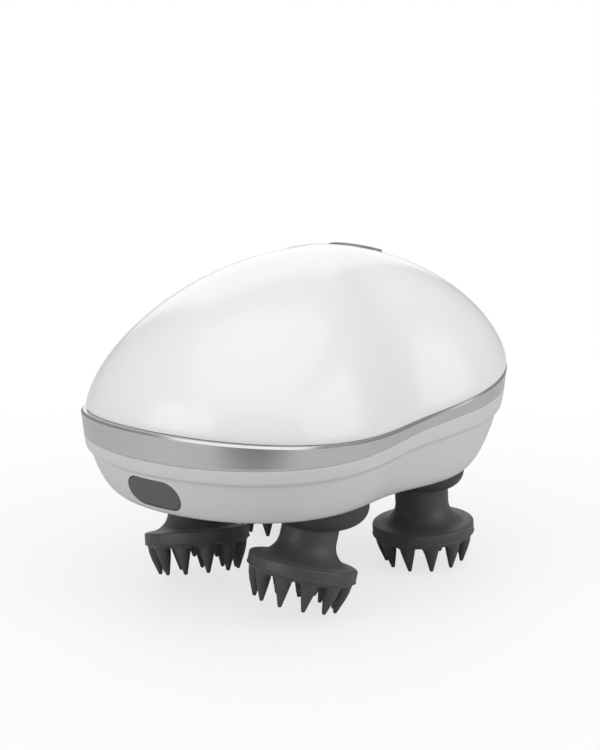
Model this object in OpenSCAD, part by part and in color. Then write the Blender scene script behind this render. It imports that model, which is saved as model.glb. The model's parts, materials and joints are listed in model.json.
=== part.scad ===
// Electric scalp massager: four kneading heads under an egg-shaped housing.
// Millimetres, +Z up. The nose points to -X and the broad tail to +X. The
// origin lies on the table, under the middle of the housing.

/* [Housing] */
// Length of the housing, nose to tail
body_len = 116; // [112:0.5:120]
// Width of the housing at its middle
waist_w = 80.8; // [78:0.2:84]
// How far the widest place moves toward the tail
tail_bias = 1.7; // [0.5:0.1:3]
// Rounding of the four quarters of the plan outline
quarter_round = 2.5; // [1.5:0.1:3.5]
// Height of the dome's top above the table
top_z = 85.5; // [83:0.5:88]
// Mean height of the seam under the dome
seam_mean = 51.55; // [50.5:0.05:52.5]
// How much the seam rises from nose to tail, each way
seam_rise = 4.45; // [3:0.05:5]
// How much the seam dips at the flanks, each way
seam_dip = 3.15; // [2.5:0.05:3.5]
// How far the dome's summit lies toward the tail
summit_x = 10.2; // [8:0.2:12]
// Fullness of the dome's plan as it closes
dome_plan_pow = 1.04; // [1:0.01:1.1]
// Fullness of the dome's side view
dome_rise_pow = 1.26; // [1.2:0.01:1.4]
// Wall of the dome at its rim
shell_wall = 3.3; // [3:0.1:3.8]
// Wall of the dome at its top
dome_wall = 2.4; // [2:0.1:2.8]
// Open line between the dome and the trim band
seam_gap = 0.25; // [0.2:0.05:0.4]

/* [Trim band] */
// Mean height of the silver band
band_mean = 5.65; // [5.4:0.05:6]
// Extra height of the band at the tail
band_tail = 0.75; // [0.4:0.05:1]
// Height that the band loses at the flanks
band_flank = 1.85; // [1.4:0.05:2]
// Thickness of the band
band_wall = 2; // [1.8:0.1:2.2]
// How far the band and the lower shell stand out at the nose
nose_proud = 1.4; // [1:0.1:1.5]
// How far the band's lower edge is drawn in
band_draw = 0.5; // [0.3:0.1:0.8]
// Fit between the band and the tongues inside it
tongue_fit = 0.1; // [0.05:0.01:0.2]
// How far the dome's tongue reaches below the seam
tongue_drop = 1.1; // [0.9:0.1:1.3]
// Height of the rubber seal between the two tongues
seal_h = 1; // [0.8:0.1:1.1]

/* [Lower shell] */
// Height of the flat underside above the table, at its middle
underside_z = 27.75; // [27.5:0.05:27.9]
// Slope of the underside, which lies higher at the nose, in degrees
under_lean = 1.4; // [1.2:0.1:1.6]
// Floor of the lower shell
floor_t = 2.4; // [2:0.1:2.6]
// Size of the bottom corner against the plan outline
corner_share = 0.843; // [0.83:0.001:0.86]
// Size of the flat underside against the plan outline
flat_share = 0.79; // [0.77:0.01:0.81]
// How far the underside is shifted toward the nose as it closes
under_shift = 15.4; // [13:0.2:17]
// Depth of the soft step around the lower shell
step_depth = 0.8; // [0.4:0.1:1.2]
// Place of the soft step, as an angle along the side's curve
step_at = 23; // [20:1:27]

/* [Heads] */
// Diameter of a head's disc
disc_d = 27.4; // [26.8:0.1:27.8]
// Height of the disc's upright rim
rim_h = 2.1; // [1.8:0.1:2.4]
// Diameter of a head's neck
neck_d = 14.2; // [13.8:0.1:14.6]
// Radius of the flare between disc and neck
flare_r = 5.2; // [4.8:0.1:5.6]
// Distance from the drive pin's pivot to the middle of the disc
head_arm = 22.4; // [22:0.1:23]
// Number of prongs on the outer ring
outer_prongs = 11; // [9:1:12]
// Number of prongs on the inner ring
inner_prongs = 8; // [6:1:9]
// Length of an outer prong
outer_prong_len = 7.7; // [7.2:0.1:8.2]
// Length of an inner prong
inner_prong_len = 6.2; // [5:0.1:7]
// Radius of a prong at its root
prong_root_r = 1.95; // [1.8:0.05:2.05]
// Radius of a prong's rounded tip
prong_tip_r = 0.55; // [0.45:0.05:0.65]
// Radius of the circle through the outer prongs' roots
outer_ring_r = 11.2; // [10.9:0.1:11.3]
// Radius of the circle through the inner prongs' roots
inner_ring_r = 5.6; // [5.3:0.1:6]
// Inward slant of the outer prongs, in degrees
prong_slant = 8; // [5:1:10]
// Tilt of the front pair's drive pins, in degrees
front_tilt = 16.4; // [14:0.1:17]
// Tilt of the rear pair's drive pins, in degrees
rear_tilt = 3.6; // [2:0.1:6]

/* [Boots] */
// Diameter of a boot's bowl
boot_d = 24; // [23.4:0.1:24.6]
// Height of the boot's bottom above the table
boot_z = 21.9; // [21.5:0.1:22.4]
// Wall of the boot
boot_wall = 1.2; // [1:0.1:1.4]
// Rounding of the boot's lower edge
boot_round = 4.4; // [3.8:0.1:4.8]
// Width of the boot's flange beyond its bowl
boot_flange = 1.6; // [1.2:0.1:2]
// Thickness of the boot's flange
boot_flange_t = 1.2; // [1:0.1:1.4]
// Gap between the boot and the neck inside it
boot_gap = 0.25; // [0.2:0.05:0.4]
// Height of the ring that clamps the boot
boot_ring_h = 1.2; // [1:0.1:1.4]

/* [Gear train] */
// Module of all the gears
gear_module = 0.8; // [0.78:0.01:0.82]
// Teeth of the centre gear
centre_teeth = 52; // [50:1:54]
// Teeth of each spindle gear
spindle_teeth = 24; // [22:1:26]
// Teeth of the worm wheel
wheel_teeth = 30; // [28:1:31]
// Face width of the gears
gear_face = 5; // [4:0.2:5.2]
// Gap between two meshing tooth flanks
backlash = 0.16; // [0.12:0.01:0.25]
// Distance of the gear centre from the middle, toward the tail
centre_x = 4.3; // [3.8:0.1:4.8]
// Distance of the front spindles from the gear centre, along X
front_dx = 22; // [21.5:0.1:22.5]
// Distance of the rear spindles from the gear centre, along X
rear_dx = 19.4; // [19:0.1:20]
// Radius of the spindle shafts
shaft_r = 2.5; // [2.2:0.1:2.8]
// Radius of the tilted drive pins
pin_r = 2; // [1.8:0.1:2.2]
// Running clearance on shafts and pins
run_fit = 0.05; // [0.03:0.01:0.08]
// Clearance of pieces that are pressed together
press_fit = 0.02; // [0.01:0.01:0.03]
// Radius of the gear axle
axle_r = 2; // [1.8:0.1:2.2]
// Height of the lower gear plate above the table
plate_z = 36.5; // [36.2:0.1:37]
// Thickness of both gear plates
plate_t = 2; // [1.8:0.1:2.2]
// Gap between the gears and the plates
plate_gap = 0.5; // [0.4:0.1:0.7]
// Pitch radius of the worm
worm_r = 3.4; // [3.2:0.1:3.6]

/* [Motor and battery] */
// Length of the motor's can
motor_len = 21.5; // [20:0.5:22]
// Diameter of the motor's can
motor_d = 20; // [19:0.2:20.4]
// Share of the room over the gear plate that the motor's height takes
motor_share = 0.4; // [0.39:0.005:0.41]
// Distance of the motor's face from the middle, toward the tail
motor_x = 16.5; // [16.2:0.1:16.8]
// Radius of the motor's shaft
motor_shaft_r = 1; // [0.9:0.1:1.2]
// Share of the room over the gear plate that the battery cell takes
battery_share = 0.467; // [0.45:0.001:0.47]
// Gap between the battery cell and the wall at the housing's flank
battery_side = 4.74; // [4.6:0.02:5]
// Length of the battery cell
battery_len = 50; // [46:0.5:50.5]
// Clearance around the cell and the motor in their holders
holder_fit = 0.15; // [0.1:0.05:0.2]

/* [Button] */
// Length of the oval button along the housing
button_len = 10; // [9:0.2:11]
// Width of the oval button across the housing
button_w = 16.4; // [15:0.2:17]
// Distance of the button from the middle, toward the tail
button_x = 26.8; // [26:0.1:27.6]
// How far the button stands out of the dome
button_proud = 0.7; // [0.5:0.1:0.9]
// Travel of the button
button_travel = 0.8; // [0.5:0.1:0.9]
// Gap around the button
button_gap = 0.25; // [0.2:0.05:0.35]

/* [Charging port] */
// Width of the port's rubber cover
port_w = 15.6; // [14:0.2:16]
// Height of the port's rubber cover
port_h = 7.6; // [7.2:0.1:8]
// Height of the port's centre above the table
port_z = 34.6; // [34.3:0.1:34.9]
// Thickness of the rubber cover
port_cover_t = 1.6; // [1.4:0.1:1.8]
// Gap around the rubber cover
port_gap = 0.15; // [0.1:0.05:0.2]
// Width of the socket's metal shell
socket_w = 8.9; // [8.6:0.1:9.2]
// Height of the socket's metal shell
socket_h = 3.2; // [3:0.1:3.4]
// Length of the socket's metal shell
socket_len = 7.4; // [7:0.1:7.8]

/* [Hidden] */

// --- Colours ---
white_gloss = [0.95, 0.95, 0.95];
white_satin = [0.86, 0.87, 0.87];
silver = [0.72, 0.73, 0.74];
silicone_grey = [0.27, 0.27, 0.27];
boot_grey = [0.33, 0.33, 0.33];
steel = [0.62, 0.63, 0.65];
brass = [0.78, 0.63, 0.32];
gear_white = [0.9, 0.88, 0.8];
board_green = [0.1, 0.38, 0.22];
chip_black = [0.12, 0.12, 0.13];
cell_blue = [0.16, 0.32, 0.62];
frame_grey = [0.5, 0.52, 0.55];

// --- Counts that set how finely the smooth forms are cut ---
ring_points = 72;
dome_steps = 13;
inner_steps = 8;
round_fn = 48;

// --- Plan outline and seam, by the angle from the tail ---
body_half = body_len / 2;
half_waist = waist_w / 2;
round_mean = (body_half + half_waist) / 2 + quarter_round;
stretch = (body_half - half_waist) / 2;
tongue_in = band_wall + tongue_fit;
pole_angle = 88;

function plan_r(a) = round_mean + tail_bias * cos(a) + stretch * cos(2 * a)
    - tail_bias * cos(3 * a) - quarter_round * cos(4 * a);
function seam_z(a) = seam_mean + seam_rise * cos(a) + seam_dip * cos(2 * a);
function band_z(a) = seam_z(a) - band_mean - band_tail * cos(a) - band_flank * cos(2 * a);
// The outline of the band and the lower shell, and the sloping underside
function low_r(a) = plan_r(a) + nose_proud * pow((1 - cos(a)) / 2, 2);
function floor_at(x) = underside_z - x * tan(under_lean);
function around(n) = [for (i = [0:n - 1]) i * 360 / n];

// One ring at a constant inset, at a height of its own for each angle
function plain_ring(inset, z_of) = [for (a = around(ring_points))
    [(plan_r(a) - inset) * cos(a), (plan_r(a) - inset) * sin(a), z_of(a)]];

function low_ring(inset, z_of) = [for (a = around(ring_points))
    [(low_r(a) - inset) * cos(a), (low_r(a) - inset) * sin(a), z_of(a)]];

// One ring of the dome, at angle t up its side
function dome_ring(t, inset, top_drop, lift) = let (
    g = pow(cos(t), dome_plan_pow),
    h = pow(sin(t), dome_rise_pow)
) [for (a = around(ring_points)) [
    (plan_r(a) - inset) * g * cos(a) + summit_x * (1 - g),
    (plan_r(a) - inset) * g * sin(a),
    (seam_z(a) + seam_gap) * (1 - h) + (top_z + lift - top_drop) * h
]];

// One ring of the lower shell, at angle t down its side
under_plan_pow = 1.2;
under_drop_pow = 1.44;
step_half = 2;
function step_inset(t) = step_depth * min(1, max(0, (t - step_at + step_half) / (2 * step_half)));
function under_ring(t, inset, lift) = let (
    g = 1 - (1 - corner_share) * (1 - pow(cos(t), under_plan_pow)),
    h = pow(sin(t), under_drop_pow)
) [for (a = around(ring_points)) let (
    r = (low_r(a) - inset - step_inset(t)) * g,
    x = r * cos(a) - under_shift * (1 - g)
) [x, r * sin(a), band_z(a) * (1 - h) + (floor_at(x) + lift) * h]];
function flat_ring(share, inset, lift) = [for (a = around(ring_points)) let (
    r = (low_r(a) - inset) * share,
    x = r * cos(a) - under_shift * (1 - share)
) [x, r * sin(a), floor_at(x) + lift]];

// --- Skins over rings: a closed hose, or a ring that closes on itself ---
function strip(n, i, m) = [for (j = [0:n - 1]) let (k = (j + 1) % n) each [
    [i * n + j, i * n + k, m * n + k],
    [i * n + j, m * n + k, m * n + j]
]];
module skin(rings) {
    n = len(rings[0]);
    last = len(rings) - 1;
    sides = [for (i = [0:last - 1]) each strip(n, i, i + 1)];
    caps = [[for (j = [n - 1:-1:0]) j], [for (j = [0:n - 1]) last * n + j]];
    polyhedron([for (r = rings) each r], concat(sides, caps), convexity = 8);
}
module hoop(rings) {
    n = len(rings[0]);
    count = len(rings);
    sides = [for (i = [0:count - 1]) each strip(n, i, (i + 1) % count)];
    polyhedron([for (r = rings) each r], sides, convexity = 8);
}

dome_outer = [for (i = [0:dome_steps]) pole_angle * (1 - i / dome_steps)];
dome_inner = [for (i = [0:inner_steps]) 4 + (pole_angle - 4) * i / inner_steps];
under_outer = [0, 8, 15, step_at - step_half, step_at + step_half, 36, 48, 60, 71, 81, 90];
under_inner = [86, 68, 50, 32, 14];

// Solid form of the dome, raised by lift, for cutting and for the button's crown
module dome_form(lift) {
    skin(concat([for (t = dome_outer) dome_ring(t, 0, 0, lift)],
        [plain_ring(0, function (a) seam_z(a) - band_mean)]));
}
// Solid form of the lower shell's outside
module under_form() {
    skin(concat([for (t = under_outer) under_ring(t, band_draw, 0)],
        [flat_ring(flat_share, band_draw, 0)]));
}

// --- Places of the spindles, drive pins and heads ---
gear_distance = gear_module * (centre_teeth + spindle_teeth) / 2;
front_x = centre_x - front_dx;
rear_x = centre_x + rear_dx;
front_y = sqrt(gear_distance * gear_distance - front_dx * front_dx);
rear_y = sqrt(gear_distance * gear_distance - rear_dx * rear_dx);
// Front left, front right, rear left, rear right; left is -Y
SPINDLE = [[front_x, -front_y], [front_x, front_y], [rear_x, -rear_y], [rear_x, rear_y]];
TILT = [front_tilt, front_tilt, rear_tilt, rear_tilt];
// Direction in which each head is swung out at rest
SWING = [171, 233, -54, 54];
// Turn of each head's prongs about its pin
PRONG_TURN = [6.5, 17, -1.8, 0];

disc_r = disc_d / 2;
neck_r = neck_d / 2;
rim_low = 0.9;
chamfer = 1.1;
disc_under = rim_low + 0.85;
tip_reach = outer_prong_len - prong_tip_r;
tip_drop = disc_under + tip_reach * cos(prong_slant);
tip_ring_r = outer_ring_r - tip_reach * sin(prong_slant);
neck_top = head_arm - 6;
// The lowest prong of each head touches the table
function pivot_z(k) = (head_arm + tip_drop) * cos(TILT[k]) + tip_ring_r * sin(TILT[k]) + prong_tip_r;

module at_spindle(k) translate([SPINDLE[k][0], SPINDLE[k][1], 0]) children();
// Frame of a head: its origin is the middle of the disc, +Z runs up the drive pin
module on_pin(k) at_spindle(k) translate([0, 0, pivot_z(k)]) rotate([0, 0, SWING[k]])
    rotate([0, -TILT[k], 0]) translate([0, 0, -head_arm]) children();

// --- Small shared forms ---
module ring_of(n) for (i = [0:n - 1]) rotate([0, 0, i * 360 / n]) children();
module tube(r_out, r_in, h) difference() {
    cylinder(r = r_out, h = h, $fn = round_fn);
    translate([0, 0, -h]) cylinder(r = r_in, h = 3 * h, $fn = round_fn);
}
module box(x, y, z0, z1, w, d) translate([x - w / 2, y - d / 2, z0]) cube([w, d, z1 - z0]);
module pan_screw(head_r, head_h, shank_r, shank_len) {
    slot_w = head_r / 3;
    difference() {
        union() {
            cylinder(r = head_r, h = head_h, $fn = round_fn);
            translate([0, 0, -shank_len]) cylinder(r = shank_r, h = shank_len + head_h / 2, $fn = round_fn);
        }
        for (turn = [0, 90]) rotate([0, 0, turn])
            translate([-head_r * 0.65, -slot_w / 2, head_h / 2]) cube([head_r * 1.3, slot_w, head_h]);
    }
}

// --- Involute gears ---
pressure_angle = 20;
flank_steps = 4;
tooth_tip = 0.95;
function involute(base_r, angle) = let (roll = angle * PI / 180) [
    base_r * (cos(angle) + roll * sin(angle)), base_r * (sin(angle) - roll * cos(angle))];
function roll_at(base_r, r) = r <= base_r ? 0 : sqrt(pow(r / base_r, 2) - 1) * 180 / PI;
function polar_angle(p) = atan2(p[1], p[0]);
function tooth_flank(teeth, slack) = let (
    pitch_r = gear_module * teeth / 2,
    base_r = pitch_r * cos(pressure_angle),
    tip_roll = roll_at(base_r, pitch_r + gear_module * tooth_tip),
    pitch_polar = polar_angle(involute(base_r, roll_at(base_r, pitch_r))),
    half_tooth = 90 / teeth - slack / 2 / pitch_r * 180 / PI
) [for (i = [0:flank_steps]) let (
        p = involute(base_r, tip_roll * i / flank_steps),
        polar = polar_angle(p) - pitch_polar - half_tooth
    ) [norm(p), polar]];
function gear_outline(teeth, slack) = let (
    root_r = gear_module * (teeth / 2 - 1.2),
    flank = tooth_flank(teeth, slack)
) [for (t = [0:teeth - 1]) let (mid = t * 360 / teeth) each concat(
    [[root_r * cos(mid + flank[0][1]), root_r * sin(mid + flank[0][1])]],
    [for (p = flank) [p[0] * cos(mid + p[1]), p[0] * sin(mid + p[1])]],
    [for (i = [flank_steps:-1:0]) let (p = flank[i]) [p[0] * cos(mid - p[1]), p[0] * sin(mid - p[1])]],
    [[root_r * cos(mid - flank[0][1]), root_r * sin(mid - flank[0][1])]])];
module spur_gear(teeth, slack, h) linear_extrude(h) polygon(gear_outline(teeth, slack));

gear_z = plate_z + plate_t + plate_gap;
gear_top = gear_z + gear_face;
upper_plate_z = gear_top + plate_gap;
upper_plate_top = upper_plate_z + plate_t;
room_h = top_z - upper_plate_top;
motor_flat = motor_share * room_h;
motor_lift = 0.7;
motor_z = upper_plate_top + motor_lift + motor_flat / 2;
wheel_face = 4;
wheel_r = gear_module * wheel_teeth / 2;
wheel_tip_r = wheel_r + gear_module * tooth_tip;
worm_y = -(wheel_r + worm_r);
hub_r = 5;
screw_r = 1.25;
screw_fit = 0.05;
post_r = 3.2;

// --- Housing ---
case_post_z = 50;
case_post_r = 3.4;
CASE_POST = [[-38, -13], [-38, 13], [42.2, -7], [42.2, 7]];
screw_seat_z = 31;
screw_head_r = 2.2;
counterbore_r = 2.4;
pillar_gap = 1.74;
pillar_reach = gear_module * (centre_teeth / 2 + tooth_tip) + pillar_gap + post_r;
pillar_offset = 4;
PILLAR = [[centre_x - pillar_reach, 0], [centre_x + pillar_reach, pillar_offset],
    [centre_x, -pillar_reach], [centre_x, pillar_reach]];
module at_each(places) for (p = places) translate([p[0], p[1], 0]) children();

// Height of the dome on its middle line, at distance x toward the tail
function dome_z(x) = let (
    g = (x - summit_x) / (body_half - summit_x),
    t = acos(pow(g, 1 / dome_plan_pow)),
    h = pow(sin(t), dome_rise_pow)
) (seam_z(0) + seam_gap) * (1 - h) + top_z * h;
button_lean = atan(dome_z(button_x - 0.5) - dome_z(button_x + 0.5));
module at_button() translate([button_x, 0, dome_z(button_x)]) rotate([0, button_lean, 0]) children();
module oval(length, width, h) linear_extrude(h)
    polygon([for (a = around(round_fn)) [length / 2 * cos(a), width / 2 * sin(a)]]);

board_depth = 10;
board_t = 1.6;
BOARD_POST = [[-10, -8], [-10, 8], [10, -8], [10, 8]];
board_post_r = 1.8;
board_screw_r = 0.75;
post_bury = 2.6;
module upper_shell() color(white_gloss) difference() {
    union() {
        skin(concat(
            [for (t = dome_outer) dome_ring(t, 0, 0, 0)],
            [plain_ring(tongue_in, function (a) seam_z(a) + seam_gap),
                plain_ring(tongue_in, function (a) seam_z(a) - tongue_drop),
                plain_ring(shell_wall, function (a) seam_z(a) - tongue_drop)],
            [for (t = dome_inner) dome_ring(t, shell_wall, dome_wall, 0)]));
        intersection() {
            at_each(CASE_POST) translate([0, 0, case_post_z])
                cylinder(r = case_post_r, h = top_z - case_post_z, $fn = round_fn);
            dome_form(-dome_wall / 2);
        }
        at_button() at_each(BOARD_POST) translate([0, 0, -board_depth])
            cylinder(r = board_post_r, h = board_depth - post_bury, $fn = round_fn);
    }
    at_each(CASE_POST) translate([0, 0, case_post_z - 1])
        cylinder(r = screw_r + screw_fit, h = screw_len - (case_post_z - screw_seat_z) + 2, $fn = round_fn);
    at_button() translate([0, 0, -button_cut])
        oval(button_len + 2 * button_gap, button_w + 2 * button_gap, 2 * button_cut);
    at_button() at_each(BOARD_POST) translate([0, 0, -board_depth - 1])
        cylinder(r = board_screw_r + screw_fit, h = board_screw_len + 2, $fn = round_fn);
}
button_cut = 5;
screw_len = 26;
board_screw_len = 5;

module trim_band() color(silver) {
    edge = 0.35;
    hoop([
        low_ring(edge, function (a) seam_z(a)),
        low_ring(0, function (a) seam_z(a) - edge),
        low_ring(band_draw, function (a) band_z(a)),
        plain_ring(band_wall, function (a) band_z(a)),
        plain_ring(band_wall, function (a) seam_z(a))
    ]);
}

module seal_ring() color(chip_black) hoop([
    plain_ring(tongue_in, function (a) seam_z(a) - tongue_drop),
    plain_ring(tongue_in, function (a) seam_z(a) - tongue_drop - seal_h),
    plain_ring(shell_wall, function (a) seam_z(a) - tongue_drop - seal_h),
    plain_ring(shell_wall, function (a) seam_z(a) - tongue_drop)
]);

// --- Charging port ---
nose_band_z = band_z(180);
function nose_x(z, x = -body_half) = let (
    h = (nose_band_z - z) / (nose_band_z - floor_at(x)),
    t = asin(pow(h, 1 / under_drop_pow)),
    g = 1 - (1 - corner_share) * (1 - pow(cos(t), under_plan_pow))
) -(low_r(180) - band_draw - step_inset(t)) * g - under_shift * (1 - g);
port_x = nose_x(port_z, nose_x(port_z));
port_reach = 9;
port_proud = 0.15;
socket_back = 3.4;
socket_x = port_x + socket_back;
charge_board_t = 1.2;
charge_board_z = port_z - socket_h / 2 - charge_board_t;
charge_post_x = socket_x + 10.85;
charge_post_y = 6.5;
CHARGE_POST = [[charge_post_x, -charge_post_y], [charge_post_x, charge_post_y]];
charge_post_r = 2;
module port_form(grow) translate([port_x - port_reach, 0, port_z]) rotate([90, 0, 90])
    linear_extrude(2 * port_reach) hull() for (side = [-1, 1])
        translate([side * (port_w - port_h) / 2, 0]) circle(r = port_h / 2 + grow, $fn = 32);
module socket_form(grow, x0, x1) translate([x0, -socket_w / 2 - grow, port_z - socket_h / 2 - grow])
    cube([x1 - x0, socket_w + 2 * grow, socket_h + 2 * grow]);

boot_r = boot_d / 2;
boot_in_r = boot_r - boot_wall;
boot_flange_r = boot_r + boot_flange;
boot_fit = 0.15;
seat_sink = 0.35;
function seat_z(k) = floor_at(SPINDLE[k][0]) + floor_t - seat_sink;
foot_z = underside_z + floor_t / 2;
pillar_bore_z = underside_z + 3;
module lower_shell() color(white_satin) difference() {
    union() {
        skin(concat(
            [flat_ring(flat_share, shell_wall, floor_t)],
            [for (t = under_inner) under_ring(t, shell_wall, floor_t)],
            [plain_ring(shell_wall, function (a) seam_z(a) - tongue_drop - seal_h),
                plain_ring(tongue_in, function (a) seam_z(a) - tongue_drop - seal_h),
                plain_ring(tongue_in, function (a) band_z(a))],
            [for (t = under_outer) under_ring(t, band_draw, 0)],
            [flat_ring(flat_share, band_draw, 0)]));
        at_each(PILLAR) translate([0, 0, foot_z])
            cylinder(r = post_r, h = plate_z - foot_z, $fn = round_fn);
        at_each(CASE_POST) translate([0, 0, foot_z])
            cylinder(r = case_post_r, h = case_post_z - foot_z, $fn = round_fn);
        at_each(CHARGE_POST) translate([0, 0, foot_z])
            cylinder(r = charge_post_r, h = charge_board_z - foot_z, $fn = round_fn);
    }
    for (k = [0:3]) at_spindle(k) {
        translate([0, 0, boot_z]) cylinder(r = boot_r + boot_fit, h = boot_d / 2, $fn = head_fn);
        translate([0, 0, seat_z(k)]) cylinder(r = boot_flange_r + boot_fit, h = 5, $fn = head_fn);
    }
    at_each(PILLAR) translate([0, 0, pillar_bore_z])
        cylinder(r = screw_r + screw_fit, h = plate_z, $fn = round_fn);
    at_each(CASE_POST) {
        translate([0, 0, boot_z]) cylinder(r = counterbore_r, h = screw_seat_z - boot_z, $fn = round_fn);
        cylinder(r = screw_r + screw_fit, h = case_post_z + 1, $fn = round_fn);
    }
    difference() {
        port_form(port_gap);
        translate([port_cover_t + screw_fit, 0, 0]) under_form();
    }
    socket_form(port_gap, port_x - 1, port_x + port_reach);
}

tongue_w = 7.8;
tongue_h = 2.1;
tongue_len = 3;
module port_cover() color(silicone_grey) {
    difference() {
        intersection() {
            port_form(0);
            translate([-port_proud, 0, 0]) under_form();
        }
        translate([port_cover_t, 0, 0]) under_form();
    }
    tongue_x = port_x + port_cover_t / 2;
    tongue_reach = socket_x + tongue_len - tongue_x;
    box(tongue_x + tongue_reach / 2, 0, port_z - tongue_h / 2, port_z + tongue_h / 2, tongue_reach, tongue_w);
}

socket_wall = 0.35;
board_edge = 2.3;
board_under = 2;
charge_hole_r = 0.9;
module charge_socket() color(steel) {
    difference() {
        socket_form(0, socket_x, socket_x + socket_len);
        socket_form(-socket_wall, socket_x - 1, socket_x + socket_len - 1);
    }
    tab_h = 0.7;
    tab_len = 2.6;
    box(socket_x + socket_len - 1 - tab_len / 2 + 0.1, 0, port_z - tab_h / 2, port_z + tab_h / 2,
        tab_len + 0.2, socket_w - 2.4);
}
module charge_board() color(board_green) {
    board_w = 2 * (charge_post_y + board_edge);
    front_x = socket_x + socket_len - board_under;
    back_x = charge_post_x + board_edge;
    difference() {
        box((front_x + back_x) / 2, 0, charge_board_z, charge_board_z + charge_board_t,
            back_x - front_x, board_w);
        at_each(CHARGE_POST) translate([0, 0, charge_board_z - 1])
            cylinder(r = charge_hole_r, h = charge_board_t + 2, $fn = 24);
    }
}

// --- Button and control board ---
flange_drop = 3.3;
flange_t = 0.7;
flange_reach = 1;
switch_h = 3.4;
switch_w = 6;
plunger_r = 1.7;
plunger_up = 1;
plunger_deep = 1.6;
module button() color(silver) at_button() {
    intersection() {
        translate([0, 0, -flange_drop - 0.1]) oval(button_len, button_w, flange_drop + 3);
        translate([0, 0, button_proud]) rotate([0, -button_lean, 0])
            translate([-button_x, 0, -dome_z(button_x)]) dome_form(0);
    }
    translate([0, 0, -flange_drop - flange_t])
        oval(button_len + 2 * flange_reach, button_w + 2 * flange_reach, flange_t);
    stem_z = board_depth - switch_h - plunger_up;
    translate([0, 0, -stem_z]) cylinder(r = plunger_r, h = stem_z - flange_drop, $fn = round_fn);
}
module switch_plunger() color(chip_black) at_button()
    translate([0, 0, -board_depth + switch_h - plunger_deep])
        cylinder(r = plunger_r, h = plunger_deep + plunger_up, $fn = round_fn);
module tact_switch() color(steel) at_button() difference() {
    box(0, 0, -board_depth, -board_depth + switch_h, switch_w, switch_w);
    translate([0, 0, -board_depth + switch_h - plunger_deep - button_travel - 0.1])
        cylinder(r = plunger_r + run_fit, h = switch_h, $fn = round_fn);
}
board_len = 26;
board_w = 22;
module control_board() color(board_green) at_button() difference() {
    box(0, 0, -board_depth - board_t, -board_depth, board_len, board_w);
    at_each(BOARD_POST) translate([0, 0, -board_depth - 2 * board_t])
        cylinder(r = board_screw_r + screw_fit, h = 3 * board_t, $fn = 24);
}
module board_chips() color(chip_black) at_button() {
    under = -board_depth - board_t;
    box(-3, 0, under - 1.4, under, 7, 7);
    box(6, 5, under - 1, under, 4, 3.2);
    box(6, -5, under - 2.6, under, 5, 3.6);
    translate([2.8, 0, under - 5]) cylinder(r = 2, h = 5, $fn = round_fn);
}
module board_screws() color(steel) at_button() at_each(BOARD_POST)
    translate([0, 0, -board_depth - board_t]) rotate([180, 0, 0])
        pan_screw(1.5, 0.9, board_screw_r, board_screw_len);

// --- Battery ---
battery_lift = 2.4;
battery_x = -16;
battery_gap = 1.4;
battery_d = min(battery_share * room_h, half_waist - shell_wall - battery_side - wheel_tip_r - battery_gap);
battery_r = battery_d / 2;
battery_y = wheel_tip_r + battery_gap + battery_r;
battery_z = upper_plate_top + battery_lift + battery_r;
cradle_top = battery_z - 3.4;
cradle_wall = 0.6;
cradle_end = 5;
strap_w = 8;
strap_t = 0.8;
module battery_form(grow) translate([battery_x - grow, battery_y, battery_z]) rotate([0, 90, 0])
    cylinder(r = battery_r + grow, h = battery_len + 2 * grow, $fn = round_fn);
module battery() color(cell_blue) {
    battery_form(0);
    translate([battery_x + battery_len, battery_y, battery_z]) rotate([0, 90, 0])
        cylinder(r = 2.6, h = 1, $fn = round_fn);
}
module battery_cradle() color(frame_grey) difference() {
    box(battery_x + battery_len / 2, battery_y, upper_plate_top, cradle_top,
        battery_len - 2 * cradle_end, battery_d + 2 * cradle_wall);
    battery_form(holder_fit);
    translate([SPINDLE[3][0], SPINDLE[3][1], upper_plate_top - 1])
        cylinder(r = bush_flange_r + 1, h = 2.2, $fn = round_fn);
    translate([PILLAR[3][0], PILLAR[3][1], upper_plate_top - 1])
        cylinder(r = screw_head_r + 1, h = 1 + head_rise, $fn = round_fn);
}
module battery_strap() color(chip_black) intersection() {
    translate([battery_x + battery_len / 2 - strap_w / 2, battery_y, battery_z]) rotate([0, 90, 0])
        tube(battery_r + holder_fit + strap_t, battery_r + holder_fit, strap_w);
    box(battery_x + battery_len / 2, battery_y, cradle_top, top_z, 2 * strap_w, 2 * battery_d);
}

// --- Motor, worm and its bearing ---
module motor_form(grow, x0, x1) translate([x0, worm_y, motor_z]) rotate([0, 90, 0]) intersection() {
    cylinder(r = motor_d / 2 + grow, h = x1 - x0, $fn = round_fn);
    translate([-motor_flat / 2 - grow, -motor_d, 0]) cube([motor_flat + 2 * grow, 2 * motor_d, x1 - x0]);
}
motor_boss_r = 3;
motor_boss_len = 0.5;
shaft_in = 4;
worm_len = 15;
bearing_gap = 0.5;
bearing_t = 3;
shaft_x0 = centre_x - worm_len / 2 - bearing_gap - bearing_t;
module along_worm(x0) translate([x0, worm_y, motor_z]) rotate([0, 90, 0]) children();
module motor() color(steel) difference() {
    union() {
        motor_form(0, motor_x, motor_x + motor_len);
        along_worm(motor_x - motor_boss_len) cylinder(r = motor_boss_r, h = 2 * motor_boss_len, $fn = round_fn);
    }
    along_worm(motor_x - 1) cylinder(r = motor_shaft_r + run_fit, h = shaft_in + 1.5, $fn = round_fn);
}
module motor_shaft() color(steel) along_worm(shaft_x0)
    cylinder(r = motor_shaft_r, h = motor_x + shaft_in - shaft_x0, $fn = round_fn);

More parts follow.
